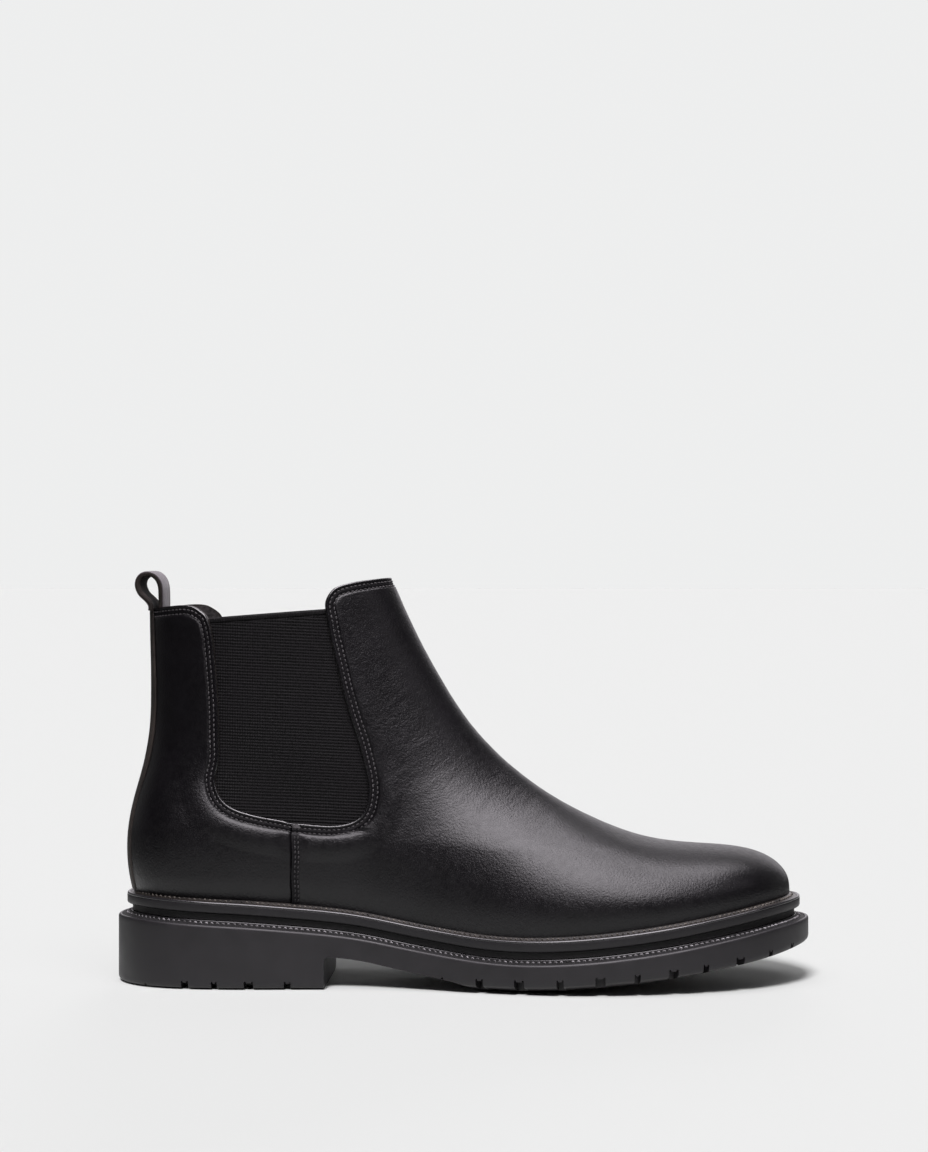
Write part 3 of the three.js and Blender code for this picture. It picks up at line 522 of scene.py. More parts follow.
LEATHER = leather("black_leather", seams=True)
EDGE = leather("leather_edge", dark=(0.010, 0.009, 0.008), light=(0.024, 0.020, 0.017),
               roughness=0.34, grain=0.25, specular=0.5, coat=0.3)
# the backstay strip is black leather; its brownish tone, lighter than the leather round it, is
# partly the strip's own colour and partly a painted rim light along the back
STRIP_WITH_RIM_LIGHT = leather("backstay_leather", dark=(0.008, 0.0064, 0.0056),
                light=(0.030, 0.0235, 0.0195), roughness=0.60, grain=0.9)
LINING = fabric("lining_leather", dark=(0.0015, 0.0014, 0.0015), light=(0.055, 0.050, 0.049),
                roughness=0.50, scale=620, sheen=0.1, depth=0.0006)
# the pull loop is black leather; its light grey colour is a painted reflection of the bright
# backdrop
LOOP_PAINTED_REFLECTION = leather("loop_leather_painted_reflection", dark=(0.075, 0.067, 0.074), light=(0.11, 0.098, 0.108),
               roughness=0.38, grain=0.5)
STRAP_EDGE = leather("strap_edge", dark=(0.004, 0.0032, 0.0028),
                     light=(0.016, 0.0120, 0.0100), roughness=0.62, grain=0.6,
                     specular=0.2, coat=0.0)
SUEDE = fabric("loop_inside", dark=(0.006, 0.0045, 0.0038), light=(0.032, 0.024, 0.020),
               roughness=0.9, scale=700, sheen=0.08, depth=0.0004)
ELASTIC = elastic()
BEAD = rubber("welt_bead", dark=(0.010, 0.0095, 0.011), light=(0.016, 0.015, 0.017),
              roughness=0.13, specular=0.75, grain=0.04)
LIP = rubber("rim_lip", dark=(0.0125, 0.0117, 0.0138), light=(0.0180, 0.0168, 0.0194),
             roughness=0.26, specular=0.5, grain=0.06)
SOLE = rubber("sole_rubber", dark=(0.0076, 0.0068, 0.0080), light=(0.0112, 0.0101, 0.0118),
              roughness=0.48, specular=0.5, grain=0.06)
WELT = rubber("welt_rubber", dark=(0.0060, 0.0054, 0.0064), light=(0.0086, 0.0078, 0.0091),
              roughness=0.43)
# darker rubber: partly the midsole's own tone and partly painted shade for its groove between welt
# and outsole; the outsole also uses it as painted shade in its stitch channel
RECESS_SHADE_RUBBER = rubber("recess_shade_rubber", dark=(0.0028, 0.0026, 0.0029),
                 light=(0.0050, 0.0047, 0.0052), roughness=0.6)
THREAD_BLACK = fabric("thread_black", dark=(0.004, 0.0037, 0.004), light=(0.075, 0.070, 0.073),
                      roughness=0.40, scale=560, sheen=0.2, depth=0.0001)
THREAD_SIDE = fabric("thread_side_seam", dark=(0.003, 0.0028, 0.003),
                     light=(0.040, 0.0375, 0.039), roughness=0.45, scale=420, sheen=0.1,
                     depth=0.0001)
THREAD_WELT = fabric("thread_welt", dark=(0.004, 0.0035, 0.003), light=(0.19, 0.172, 0.148),
                     roughness=0.6, scale=330, sheen=0.1, depth=0.0001)
THREAD_LIGHT = fabric("thread_light", dark=(0.005, 0.0048, 0.005), light=(0.36, 0.35, 0.36),
                      roughness=0.5, scale=480, sheen=0.1, depth=0.0001)
FIBRE = fabric("stiffener_fibre", dark=(0.20, 0.17, 0.13), light=(0.32, 0.28, 0.22),
               roughness=0.9, scale=1200)
SOCK = leather("sock_leather", dark=(0.030, 0.020, 0.013), light=(0.055, 0.038, 0.026),
               roughness=0.6, grain=0.4)
CORK = fabric("cork", dark=(0.22, 0.13, 0.06), light=(0.45, 0.29, 0.15),
              roughness=0.9, scale=500, sheen=0.0, depth=0.0005)
BOARD = fabric("fibre_board", dark=(0.26, 0.18, 0.09), light=(0.40, 0.29, 0.16),
               roughness=0.85, scale=800, sheen=0.0, depth=0.0002)
STEEL = steel()


# ---------------------------------------------------------------- mesh makers
def mesh_object(name, vertices, faces, materials=(), face_materials=None):
    """Object from millimetre vertices."""
    mesh = bpy.data.meshes.new(name)
    mesh.from_pydata((np.asarray(vertices, float) * 0.001).tolist(), [], faces)
    mesh.validate()
    mesh.update()
    obj = bpy.data.objects.new(name, mesh)
    bpy.context.scene.collection.objects.link(obj)
    for made in materials:
        mesh.materials.append(made.material)
    if face_materials is not None:
        mesh.polygons.foreach_set("material_index", np.asarray(face_materials, np.int32))
    return obj


def turn_faces_out(obj):
    work = bmesh.new()
    work.from_mesh(obj.data)
    bmesh.ops.recalc_face_normals(work, faces=work.faces)
    work.to_mesh(obj.data)
    work.free()


def shade(obj, sharp_degrees):
    obj.data.shade_smooth()
    obj.data.set_sharp_from_angle(angle=math.radians(sharp_degrees))


def place(obj, slot, *replaced, bend=None):
    """Fix a piece to the boot, or, when bend is given, only bake its transform and leave it
    unattached: bend is (part, start, end).
    """
    if bend:
        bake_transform(obj)
    else:
        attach(obj, "boot")
    if replaced:
        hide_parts(*replaced)


def slab(name, outer, inner, materials, edge_material=0, inner_material=0, sharp=40):
    """Closed sheet between an outer and an inner grid of points [row, column, 3]."""
    rows, columns = outer.shape[:2]
    top = np.arange(rows * columns).reshape(rows, columns)
    low = top + rows * columns
    corners = [
        (top[:-1, :-1], top[:-1, 1:], top[1:, 1:], top[1:, :-1]),
        (low[1:, :-1], low[1:, 1:], low[:-1, 1:], low[:-1, :-1]),
        (low[0, :-1], low[0, 1:], top[0, 1:], top[0, :-1]),
        (top[-1, :-1], top[-1, 1:], low[-1, 1:], low[-1, :-1]),
        (top[:-1, 0], top[1:, 0], low[1:, 0], low[:-1, 0]),
        (low[:-1, -1], low[1:, -1], top[1:, -1], top[:-1, -1])]
    parts = [np.stack(quad, -1).reshape(-1, 4) for quad in corners]
    indices = [0, inner_material] + [edge_material] * 4
    obj = mesh_object(name, np.vstack([outer.reshape(-1, 3), inner.reshape(-1, 3)]),
                      np.vstack(parts).tolist(), materials,
                      np.repeat(indices, [len(part) for part in parts]))
    start = outer[:-1, :-1]
    facing = np.cross(outer[1:, :-1] - start, outer[:-1, 1:] - start)
    if (facing * (outer - inner)[:-1, :-1]).sum() > 0:
        obj.data.flip_normals()
    shade(obj, sharp)
    return obj


def ring_mesh(name, rings, materials, count, closed=False, sharp=35, band_materials=None):
    """Rings round the sole, each (inset, height as a function of x), joined in order.

    A closed mesh joins the last ring to the first; otherwise both ends are capped.
    """
    shares = even_shares(count)
    points = []
    for inset, height in rings:
        plan = offset_outline(shares, inset)
        points.append(np.c_[plan, height(plan[:, 0])])
    i = np.arange(count)
    j = (i + 1) % count
    faces = []
    face_materials = []
    for band in range(len(rings) if closed else len(rings) - 1):
        near, far = band * count, (band + 1) % len(rings) * count
        faces += np.stack([near + i, near + j, far + j, far + i], 1).tolist()
        face_materials += [band_materials[band] if band_materials else 0] * count
    if not closed:
        half = count // 2
        cap = [[k, k + 1, count - k - 1, count - k] for k in range(1, half - 1)]
        cap += [[0, 1, count - 1], [half - 1, half, half + 1]]
        start = (len(rings) - 1) * count
        faces += [face[::-1] for face in cap]
        faces += [[start + k for k in face] for face in cap]
        face_materials += [0] * (2 * len(cap))
    obj = mesh_object(name, np.vstack(points), faces, materials, face_materials)
    turn_faces_out(obj)
    shade(obj, sharp)
    return obj


def over_rim(profile):
    """Rings from (inset, height above the rim) pairs."""
    return [(inset, lambda x, height=height: rim(x) + height) for inset, height in profile]


def tube_faces(rings, sides):
    """Faces of a capped tube."""
    faces = [[i * sides + k, i * sides + (k + 1) % sides,
              (i + 1) * sides + (k + 1) % sides, (i + 1) * sides + k]
             for i in range(rings - 1) for k in range(sides)]
    return faces + [list(range(sides))[::-1], list(range((rings - 1) * sides, rings * sides))]


def stitches(name, lines, material, pitch, length, radius, height, slack, twist):
    """Separate stitches along (points, normals) lines.

    height lifts the middle of a stitch, slack is how far its ends dip below that, and twist
    is its slope across the line.
    """
    rings, sides = 7, 6
    reach = -1 + 2 * np.arange(rings) / (rings - 1)
    girth = radius * np.maximum(.12, np.sqrt(1 - abs(reach) ** 3.2))
    angle = FULL_TURN * np.arange(sides)[:, None] / sides
    vertices = []
    for points, outward in lines:
        travelled = lengths(points)
        count = int(travelled[-1] / pitch)
        for middle in (np.arange(count) + 0.5) * (travelled[-1] / max(count, 1)):
            at = np.clip(middle + reach * length / 2, 0, travelled[-1])
            core, up = (np.stack([np.interp(at, travelled, column) for column in table.T], -1)
                        for table in (points, outward))
            up = unit(up)
            core = core + up * (height - slack * reach * reach)[:, None]
            forward = unit(core[-1] - core[0])
            across = unit(np.cross(forward, up))
            lean = twist * ((core - core[rings // 2]) @ forward)
            core = core + across * lean[:, None]
            ring = across[:, None] * np.cos(angle) + up[:, None] * np.sin(angle)
            vertices.append((core[:, None] + ring * girth[:, None, None]).reshape(-1, 3))
    one = tube_faces(rings, sides)
    starts = range(0, len(vertices) * rings * sides, rings * sides)
    faces = [[start + k for k in face] for start in starts for face in one]
    obj = mesh_object(name, np.vstack(vertices), faces, [material])
    turn_faces_out(obj)
    obj.data.shade_smooth()
    return obj


# ---------------------------------------------------------------- relief of the leather
GORE_EDGES = vamp_edge.both_sides(900) + quarter_edge.both_sides(900)
SIDE_SEAMS = seam_line.both_sides(400)
SEAM_PLACES = seam_line(np.linspace(0, 1, 300))


def edge_relief(gap, puff):
    """Height of the leather by its gap from a cut, twice-stitched edge."""
    rounding = np.clip(1 - gap / 0.7, 0, 1)
    height = -0.75 * (1 - np.sqrt(1 - rounding * rounding))
    # a pressed border with two stitch grooves, and a puffed swell behind it
    height = height - 0.30 * (1 - ease(3.9, 4.9, gap)) * ease(0.4, 1.3, gap)
    height = height - 0.20 * bell(gap, 1.95, .42) - 0.30 * bell(gap, 3.85, .42)
    swell = 1 - np.exp(-np.maximum(gap - 4.0, 0) / 1.5)
    return height + puff * swell * np.exp(-(np.maximum(gap - 8, 0) / 9) ** 2)


def leather_relief(points, phi, rise):
    """Height of the leather off the surface, with its seam and edge masks."""
    x, z = points[..., 0], points[..., 2]
    gore_gap = distance_to(points, GORE_EDGES)
    seam_gap = distance_to(points, SIDE_SEAMS)
    # the swell is stronger round the bottom of the gore
    puff = 0.12 + 0.18 * (1 - ease(110, 140, z)) + 0.88 * (1 - ease(80, 100, z))
    height = edge_relief(gore_gap, puff * (0.35 + 0.65 * ease(3.0, 8.0, seam_gap)))
    # two stitch grooves along the side seam
    height += -0.12 * bell(seam_gap, 1.35, .35) - 0.12 * bell(seam_gap, 2.75, .35)
    # slanting creases round the ankle, then soft unevenness all over
    ankle = ease(55, 85, x) * (1 - ease(150, 185, x)) * ease(50, 70, z)
    slanted = np.stack([x * .80 + z * .60, points[..., 1] * .5,
                        (-x * .60 + z * .80) * 3.6], -1)
    height += ankle * (0.035 * value_noise(slanted, 16, 3) + 0.030 * value_noise(slanted, 8, 4)
                       + 0.020 * value_noise(slanted, 4, 5))
    height += 0.12 * value_noise(points, 30, 5) + 0.04 * value_noise(points, 12, 6)
    past_seam = fold(phi) - np.interp(rise, SEAM_PLACES[:, 1], SEAM_PLACES[:, 0])
    seam = np.maximum(
        (1 - ease(3.7, 4.4, gore_gap)) * ease(.6, 1.0, gore_gap),
        0.8 * (1 - ease(3.0, 3.5, seam_gap)) * ease(-0.006, 0.004, past_seam))
    return height, seam, 1 - ease(.45, .85, gore_gap)


def leather_piece(name, phi, rise, extra):
    """A leather panel; extra(points, phi, rise) is added to its height."""
    points, outward = surface(phi, rise), normals(phi, rise)
    height, seam, edge = leather_relief(points, phi, rise)
    height = height + extra(points, phi, rise)
    back = np.minimum(-1.6, height - 0.5)
    obj = slab(name, points + outward * height[..., None], points + outward * back[..., None],
               [LEATHER, EDGE], edge_material=1, inner_material=1)
    for key, mask in (("seam", seam), ("edge", edge)):
        attribute = obj.data.attributes.new(key, "FLOAT", "POINT")
        values = np.r_[mask.ravel(), np.zeros(mask.size)].astype(np.float32)
        attribute.data.foreach_set("value", values)
    return obj


# ---------------------------------------------------------------- vamp and quarters
# distances of the mesh lines from a cut edge, closer together where the relief is
EDGE_STEPS = np.array([
    0, .05, .12, .22, .36, .55, .8, 1.1, 1.4, 1.7, 1.95, 2.2, 2.5, 2.9, 3.3, 3.6, 3.85, 4.1,
    4.4, 4.75, 5.1, 5.5, 6.0, 6.6, 7.3, 8.1, 9.0, 10.0, 11.0, 12.0])
LOWEST_RISE = .0015
BACK_PHI = .004           # where each quarter starts at the back


def column_shares(widths, count):
    """Shares across rows of the given widths: the edge steps, then count even ones."""
    near = EDGE_STEPS / np.maximum(widths, 20.0)[:, None]
    return np.hstack([near, mix(near[:, -1:], 1, np.linspace(0, 1, count + 1)[1:])])


def row_shares(length, count):
    """Shares up a side: count even ones, then the edge steps below the top."""
    near = 1 - EDGE_STEPS / length
    return np.r_[np.linspace(0, near[-1], count, endpoint=False), near[::-1]]


def row_widths(start_phi, end_phi, rise):
    points = surface(mix(start_phi, end_phi, np.linspace(0, 1, 40)), rise)
    return np.linalg.norm(np.diff(points, axis=1), axis=2).sum(1)


def vamp_grid():
    up = row_shares(190.0, 330)
    side_phi, side_rise = np.hsplit(vamp_side(up), 2)
    across = column_shares(row_widths(side_phi, math.pi, side_rise), 78)
    up = up[:, None]
    top = tab_top(across)
    near_side = (1 - across) ** 3
    phi = mix(side_phi, math.pi, across)
    rise = mix(mix(LOWEST_RISE, 1, up), side_rise, near_side)
    rise = np.where(up <= 0, LOWEST_RISE, np.maximum(rise, LOWEST_RISE))
    # the last rows bend to the top of the tab
    corner_phi, corner_rise = TAB_TOP[0]
    near_top = up ** 10
    phi = phi + (top[..., 0] - mix(corner_phi, math.pi, across)) * near_top
    rise = rise + (top[..., 1] - mix(1, corner_rise, near_side)) * near_top
    phi = np.hstack([phi, FULL_TURN - phi[:, -2::-1]])
    return phi, np.minimum(np.hstack([rise, rise[:, -2::-1]]), 1.0)


def quarter_grid(inner):
    up = row_shares(170.0, 300)
    side_phi, side_rise = np.hsplit(quarter_side(up), 2)
    across = 1 - column_shares(row_widths(BACK_PHI, side_phi, side_rise), 46)[:, ::-1]
    up = up[:, None]
    top = quarter_top(across)
    near_side = across * across
    top_rise, (_, corner_rise) = QUARTER_TOP[0][1], QUARTER_TOP[-1]
    phi = mix(BACK_PHI, side_phi, across)
    rise = mix(mix(LOWEST_RISE, top_rise, up), side_rise, near_side)
    # the last rows bend to the top edge
    near_top = up ** 8
    phi = phi + (np.maximum(top[..., 0], BACK_PHI) - mix(BACK_PHI, .985, across)) * near_top
    rise = rise + (top[..., 1] - mix(top_rise, corner_rise, near_side)) * near_top
    return mirror(phi, inner), np.clip(rise, LOWEST_RISE, 1.0)


def over_quarter(points, phi, rise):
    """The vamp is lifted along the side seams, where it laps over the quarters."""
    return 0.35 * (1 - ease(1.0, 9.0, distance_to(points, SIDE_SEAMS)))


def under_vamp(points, phi, rise):
    """The quarter drops where it runs on under the vamp."""
    seam = np.array(SEAM)
    past_seam = (fold(phi) - np.interp(rise, seam[:, 1], seam[:, 0])) * 72.0
    return np.where(rise < .302, -1.35 * ease(-.9, .3, past_seam), 0.0)


VAMP_BEND = ("front_shaft", (0.100, 0, 0.078), (0.106, 0, 0.122))
GORE_BEND = ("front_shaft", (0.0400, 0, 0.1233), (0.0657, 0, 0.1449))

vamp = leather_piece("vamp_leather", *vamp_grid(), extra=over_quarter)
place(vamp, "black_leather", "vamp", "vamp_shaft", bend=VAMP_BEND)
for side_name, is_inner in SIDES:
    quarter = leather_piece(f"quarter_{side_name}_leather", *quarter_grid(is_inner),
                            extra=under_vamp)
    place(quarter, "black_leather", "quarter_" + side_name)


# ---------------------------------------------------------------- backstay strip
def backstay():
    half_phi = Spline([0, .1, .2, .36, .52, .66, .82, 1],
                      [.2, .215, .214, .225, .25, .275, .28, .262])
    # columns grow from each edge, with 36 even ones between
    near = np.r_[0, np.cumsum(0.006 * 1.45 ** np.arange(4))]
    columns = np.r_[near[:-1], np.linspace(near[-1], 1 - near[-1], 37), 1 - near[-2::-1]]
    across, up = np.meshgrid(columns, np.linspace(0, 1, 160))
    rise = mix(.013, .988, up)
    half = half_phi(rise)
    phi = (2 * across - 1) * half
    points, outward = surface(phi, rise), normals(phi, rise)
    gap = np.minimum(across, 1 - across) * 2 * half * 34
    height = (1.05 - 0.45 * np.clip(1 - gap / .7, 0, 1) ** 2 - 0.12 * bell(gap, 2.2, .4)
              + 0.06 * value_noise(points, 14, 8))
    # its outside wears the strip leather with the painted rim light
    return slab("backstay_leather", points + outward * height[..., None],
                points + outward * 0.15, [STRIP_WITH_RIM_LIGHT, EDGE], edge_material=1)


place(backstay(), "black_leather", "backstay")

# ---------------------------------------------------------------- gores of ribbed elastic
GORE_RISES = [.26, .36, .5, .6, .7, .8, .9, .95]
GORE_HEEL_SIDE = Spline(GORE_RISES, [.86, .79, .79, .835, .88, .916, .94, .945])
GORE_TOE_SIDE = Spline(GORE_RISES, [1.50, 1.64, 1.80, 1.885, 1.96, 2.02, 2.085, 2.12])
RIB_PITCH = 1.33


def gore(name, inner):
    across, up = np.meshgrid(np.linspace(0, 1, 90), np.linspace(0, 1, 620))
    rise = mix(.262, .9475, up)
    phi = mirror(mix(GORE_HEEL_SIDE(rise), GORE_TOE_SIDE(rise), across), inner)
    points, outward = surface(phi, rise), normals(phi, rise)
    below_top = points[-1:, :, 2] - points[..., 2]
    hem = 1 - ease(1.7, 2.3, below_top)
    sloped = points[..., 2] + points[..., 0] * .045
    ribs = 0.125 * np.cos(FULL_TURN * sloped / RIB_PITCH) * (1 - hem)
    height = (-2.15 + ribs + 0.25 * hem - 0.35 * bell(below_top, 2.2, .28)
              + 0.16 * value_noise(points, 20, 9)
              - 0.5 * np.clip(1 - below_top / .5, 0, 1) ** 2)
    return slab(name, points + outward * height[..., None], points + outward * -3.2,
                [ELASTIC], sharp=60)


for side_name, is_inner in SIDES:
    place(gore(f"gore_{side_name}_elastic", is_inner), "elastic", "gore_" + side_name,
          bend=GORE_BEND)


# ---------------------------------------------------------------- linings and stiffeners
def band(name, material, edge, bottom, top, depth, columns, rows, at_back):
    """A 1 mm layer, depth below the surface; edge is the phi of its ends, by rise."""
    across, up = np.meshgrid(np.linspace(0, 1, columns), np.linspace(0, 1, rows))
    rise = mix(bottom, top, up)
    end = edge(rise)
    phi = (2 * across - 1) * end if at_back else end + (FULL_TURN - 2 * end) * across
    points, outward = surface(phi, rise), normals(phi, rise)
    far = depth + 1.0 - 0.12 * value_noise(points, 15, 11)
    return slab(name, points - outward * depth, points - outward * far[..., None],
                [material], sharp=50)


place(band("vamp_lining_leather", LINING, Spline(
    [0, .2, .28, .36, .45, .56, .67, .83, .92, .955, .975, .987],
    [1.23, 1.24, 1.32, 1.56, 1.66, 1.77, 1.86, 1.97, 2.02, 2.06, 2.11, 2.19]),
    bottom=.012, top=.985, depth=3.9, columns=150, rows=120, at_back=False),
    "lining", "vamp_lining", "shaft_lining_front", bend=VAMP_BEND)
place(band("quarter_lining_leather", LINING, Spline(
    [0, .2, .28, .36, .45, .6, .8, .9, .94, .965, .985],
    [1.19, 1.2, 1.15, .98, .90, .94, 1.01, 1.03, 1.01, .965, .88]),
    bottom=.012, top=.985, depth=3.9, columns=120, rows=100, at_back=True),
    "lining", "quarter_lining")
place(band("heel_counter_fibre", FIBRE, Spline(
    [0, .15, .22, .30, .42], [1.0, .98, .86, .70, .62]),
    bottom=.014, top=.42, depth=2.2, columns=80, rows=30, at_back=True),
    "stiffener", "heel_counter")
place(band("toe_puff_fibre", FIBRE, Spline([0, .08, .16], [2.42, 2.5, 2.72]),
           bottom=.014, top=.15, depth=2.2, columns=60, rows=24, at_back=False),
      "stiffener", "toe_puff")

# ---------------------------------------------------------------- welt, midsole and footbed
# (inset, height above the rim) round each section
WELT_PROFILE = [
    (4.3, 5.1), (3.95, 5.35), (3.8, 5.9), (3.8, 7.4), (3.78, 8.3), (3.8, 8.55), (4.05, 8.62),
    (4.1, 8.8), (3.95, 9.0), (3.9, 9.3), (4.0, 9.6), (4.25, 9.85), (4.6, 9.95), (4.95, 9.85),
    (5.15, 9.6), (5.3, 9.45), (6.2, 9.75), (7.2, 10.35), (8.0, 11.0), (8.5, 11.25),
    (9.2, 11.3), (10.2, 11.0), (17.2, 10.5), (17.2, 5.1)]
FOOTBED_PROFILE = [(22, 15.8), (18, 16.4), (16.8, 16.6), (16.2, 16.2), (16.2, 13.4)]

place(ring_mesh("welt_ring", over_rim(WELT_PROFILE), [WELT, EDGE, BEAD], count=900,
                closed=True, sharp=50,
                band_materials=[0] * 7 + [2] * 7 + [1] * 6 + [0] * 4),
      "welt_rubber", "welt")
# the midsole's darker rubber is partly painted shade for its groove
place(ring_mesh("midsole_slab", over_rim([(6.2, 4.7), (6.2, 2.0)]), [RECESS_SHADE_RUBBER], count=600),
      "sole_rubber", "midsole")
place(ring_mesh("footbed_sock", over_rim(FOOTBED_PROFILE), [SOCK], count=400),
      "sock", "footbed")

# ---------------------------------------------------------------- outsole
# (inset, height above the rim), from the top inwards of the rim to the foot of the side wall
OUTSOLE_TOP = [
    (16, 1.3), (7.6, 1.3), (6.25, 1.35), (6.05, 1.62), (5.85, 1.74), (5.62, 1.70), (5.5, 1.5),
    (5.4, 1.25), (4.6, 0.95), (3.4, 0.48), (2.1, 0.0), (1.7, -0.10), (1.55, 0.08),
    (1.32, 0.22), (1.05, 0.26), (0.7, 0.20), (0.35, 0.02), (0.08, -0.38), (0, -0.85),
    (0, -2.6)]
# (inset, inset at which the crown is taken, height above the underside)
OUTSOLE_UNDER = [(0, 0, 2.2), (0.05, 0, 1.2), (0.3, 0.3, 0.5), (0.8, 0.8, 0.12),
                 (1.6, 1.6, 0), (4, 4, 0), (8, 8, 0), (12, 12, 0), (18, 18, 0)]
# slot 1, the darker rubber, is painted shade on the inner side of the upper lip and in the stitch
# channel
OUTSOLE_BANDS = [0] * 3 + [1] + [2] * 2 + [1] * 6 + [0] + [2] * 2 + [0] * 13
# height of the arch by x, in front of the heel block
ARCH = Spline([56, 70, 87, 100, 110, 118, 125], [14.1, 12.6, 9.0, 6.6, 4.6, 2.2, -1])
# (x, width, top) of the notches in the heel, and with the top above the crowned edge in front
HEEL_NOTCHES = [(-24.4, 1.4, 1.5), (-6.3, 3.4, 3.6), (6.6, 2.8, 3.4), (21.7, 4.3, 3.6),
                (38.3, 3.2, 3.4)]
FRONT_NOTCHES = [
    (105.6, 1.2, 3.0), (121.7, 3.5, 2.9), (138.7, 4.6, 3.0), (156.2, 3.3, 2.9),
    (173.2, 4.5, 3.0), (189, 2.8, 2.8), (204.4, 4.4, 3.0), (218.4, 2.8, 3.0),
    (233.4, 4.4, 3.1), (247, 2.4, 2.6), (257, 2.6, 2.4)]
EDGE_SHARES = np.arange(2880) / 2880
EDGE_POINTS = outline(EDGE_SHARES)


def prism(near_ring, far_ring):
    """Closed cutter between two rings of points."""
    count = len(near_ring)
    faces = [list(range(count)), list(range(2 * count - 1, count - 1, -1))]
    faces += [[i, count + i, count + (i + 1) % count, (i + 1) % count] for i in range(count)]
    obj = mesh_object("cutter", near_ring + far_ring, faces)
    turn_faces_out(obj)
    return obj


def crosswise(polygon, near_y, far_y):
    """Prism of an (x, z) polygon between two y values."""
    return prism(*([(x, y, z) for x, z in polygon] for y in (near_y, far_y)))


def arch_cutter():
    """The space in front of the heel block, with its top back corner rounded."""
    curve = [(float(x), float(ARCH(x))) for x in np.linspace(56, 125, 40)]
    corner = [(54, -6), (54, 11.6), (54.15, 12.6), (54.6, 13.4), (55.2, 13.9)]
    return crosswise(corner + curve + [(125, -6)], -80, 80)


def pocket_cutter():
    """The hollow in the heel that holds its core: round behind, bevelled in front."""
    radius, half_width = 12.0, 22
    plan = [(-22 + radius + radius * math.cos(angle), half_width * math.sin(angle))
            for angle in np.linspace(math.pi / 2, 3 * math.pi / 2, 13)]
    plan += [(36, -half_width), (40, -18), (40, 18), (36, half_width)]
    return prism(*([(x, y, z) for x, y in plan] for z in (6.0, 60.0)))


def edge_index(x, side):
    """Index of the edge point nearest to x on one side: -1 outer, 1 inner."""
    found = np.where(side * EDGE_POINTS[:, 1] > 0)[0]
    return found[np.abs(EDGE_POINTS[found, 0] - x).argmin()]


def notch_cutter(x, width, top, side):
    """A notch with a tooth in its roof, cut in square to the edge of the sole."""
    half = width / 2
    shoulder = 0.95 if width > 3.5 else 0.75
    tooth_top = top - 0.75
    polygon = [
        (-half, -10), (-half + .12, top - .3), (-half + .25, top), (-half + shoulder, top),
        (-half + shoulder + .2, tooth_top), (half - shoulder - .2, tooth_top),
        (half - shoulder, top), (half - .25, top), (half - .12, top - .3), (half, -10)]
    obj = crosswise(polygon, -12.0, 6.0 if x > 240 else 8.0)
    i = edge_index(x, side)
    edge = EDGE_POINTS[i]
    inward_x, inward_y = offset_outline(EDGE_SHARES[i:i + 1], 1.0)[0] - edge
    points = np.array([vertex.co[:] for vertex in obj.data.vertices])
    along, inward = points[:, 0].copy(), points[:, 1].copy()
    points[:, 0] = inward_y * along + inward_x * inward + edge[0] * .001
    points[:, 1] = -inward_x * along + inward_y * inward + edge[1] * .001
    obj.data.vertices.foreach_set("co", points.astype(np.float32).ravel())
    obj.data.update()
    return obj


def groove_cutter(x, width, top):
    """A shallow groove across the underside, between two notches."""
    outer_y, inner_y = (EDGE_POINTS[edge_index(x, side)][1] for side in (-1, 1))
    half = width / 2
    polygon = [(x - half + .5, -11), (x - half + .7, top), (x + half - .7, top),
               (x + half - .5, -11)]
    return crosswise(polygon, outer_y + 6.2, inner_y - 6.6)


def cut(obj, cutters):
    collection = bpy.data.collections.new("cutters")
    scene_collection = bpy.context.scene.collection
    scene_collection.children.link(collection)
    for cutter in cutters:
        scene_collection.objects.unlink(cutter)
        collection.objects.link(cutter)
    boolean = obj.modifiers.new("cut", "BOOLEAN")
    boolean.operand_type = "COLLECTION"
    boolean.collection = collection
    boolean.operation = "DIFFERENCE"
    boolean.solver = "EXACT"
    depsgraph = bpy.context.evaluated_depsgraph_get()
    result = bpy.data.meshes.new_from_object(obj.evaluated_get(depsgraph))
    obj.modifiers.remove(boolean)
    uncut = obj.data
    obj.data = result
    bpy.data.meshes.remove(uncut)
    for cutter in cutters:
        mesh = cutter.data
        bpy.data.objects.remove(cutter)
        bpy.data.meshes.remove(mesh)
    bpy.data.collections.remove(collection)


def outsole():
    rings = over_rim(OUTSOLE_TOP)
    for inset, crown_inset, height in OUTSOLE_UNDER:
        rings.append((inset, lambda x, crown_inset=crown_inset, height=height:
                      underside(x) + crown(x, crown_inset) + height))
    obj = ring_mesh("outsole_unit", rings, [SOLE, RECESS_SHADE_RUBBER, LIP], count=900,
                    band_materials=OUTSOLE_BANDS)
    cutters = [arch_cutter(), pocket_cutter()]
    notches = HEEL_NOTCHES + [(x, width, float(underside(x) + crown(x, 0)) + height)
                              for x, width, height in FRONT_NOTCHES]
    for x, width, top in notches:
        cutters += [notch_cutter(x, width, top, side) for side in (-1, 1)]
        if width > 2 and x < 235:
            cutters.append(groove_cutter(x, width,
                                         float(underside(x)) + (1.0 if x > 60 else .9)))
    cut(obj, cutters)
    shade(obj, 32)
    return obj


place(outsole(), "sole_rubber", "outsole")


# ---------------------------------------------------------------- stitching
def sole_line(inset, height):
    """Line round the sole, at a height above the rim."""
    shares = even_shares(2400)
    plan = offset_outline(np.r_[shares, shares[:1]], inset)
    points = np.c_[plan, rim(plan[:, 0]) + height]
    return points, np.tile((0.0, 0.0, 1.0), (len(points), 1))


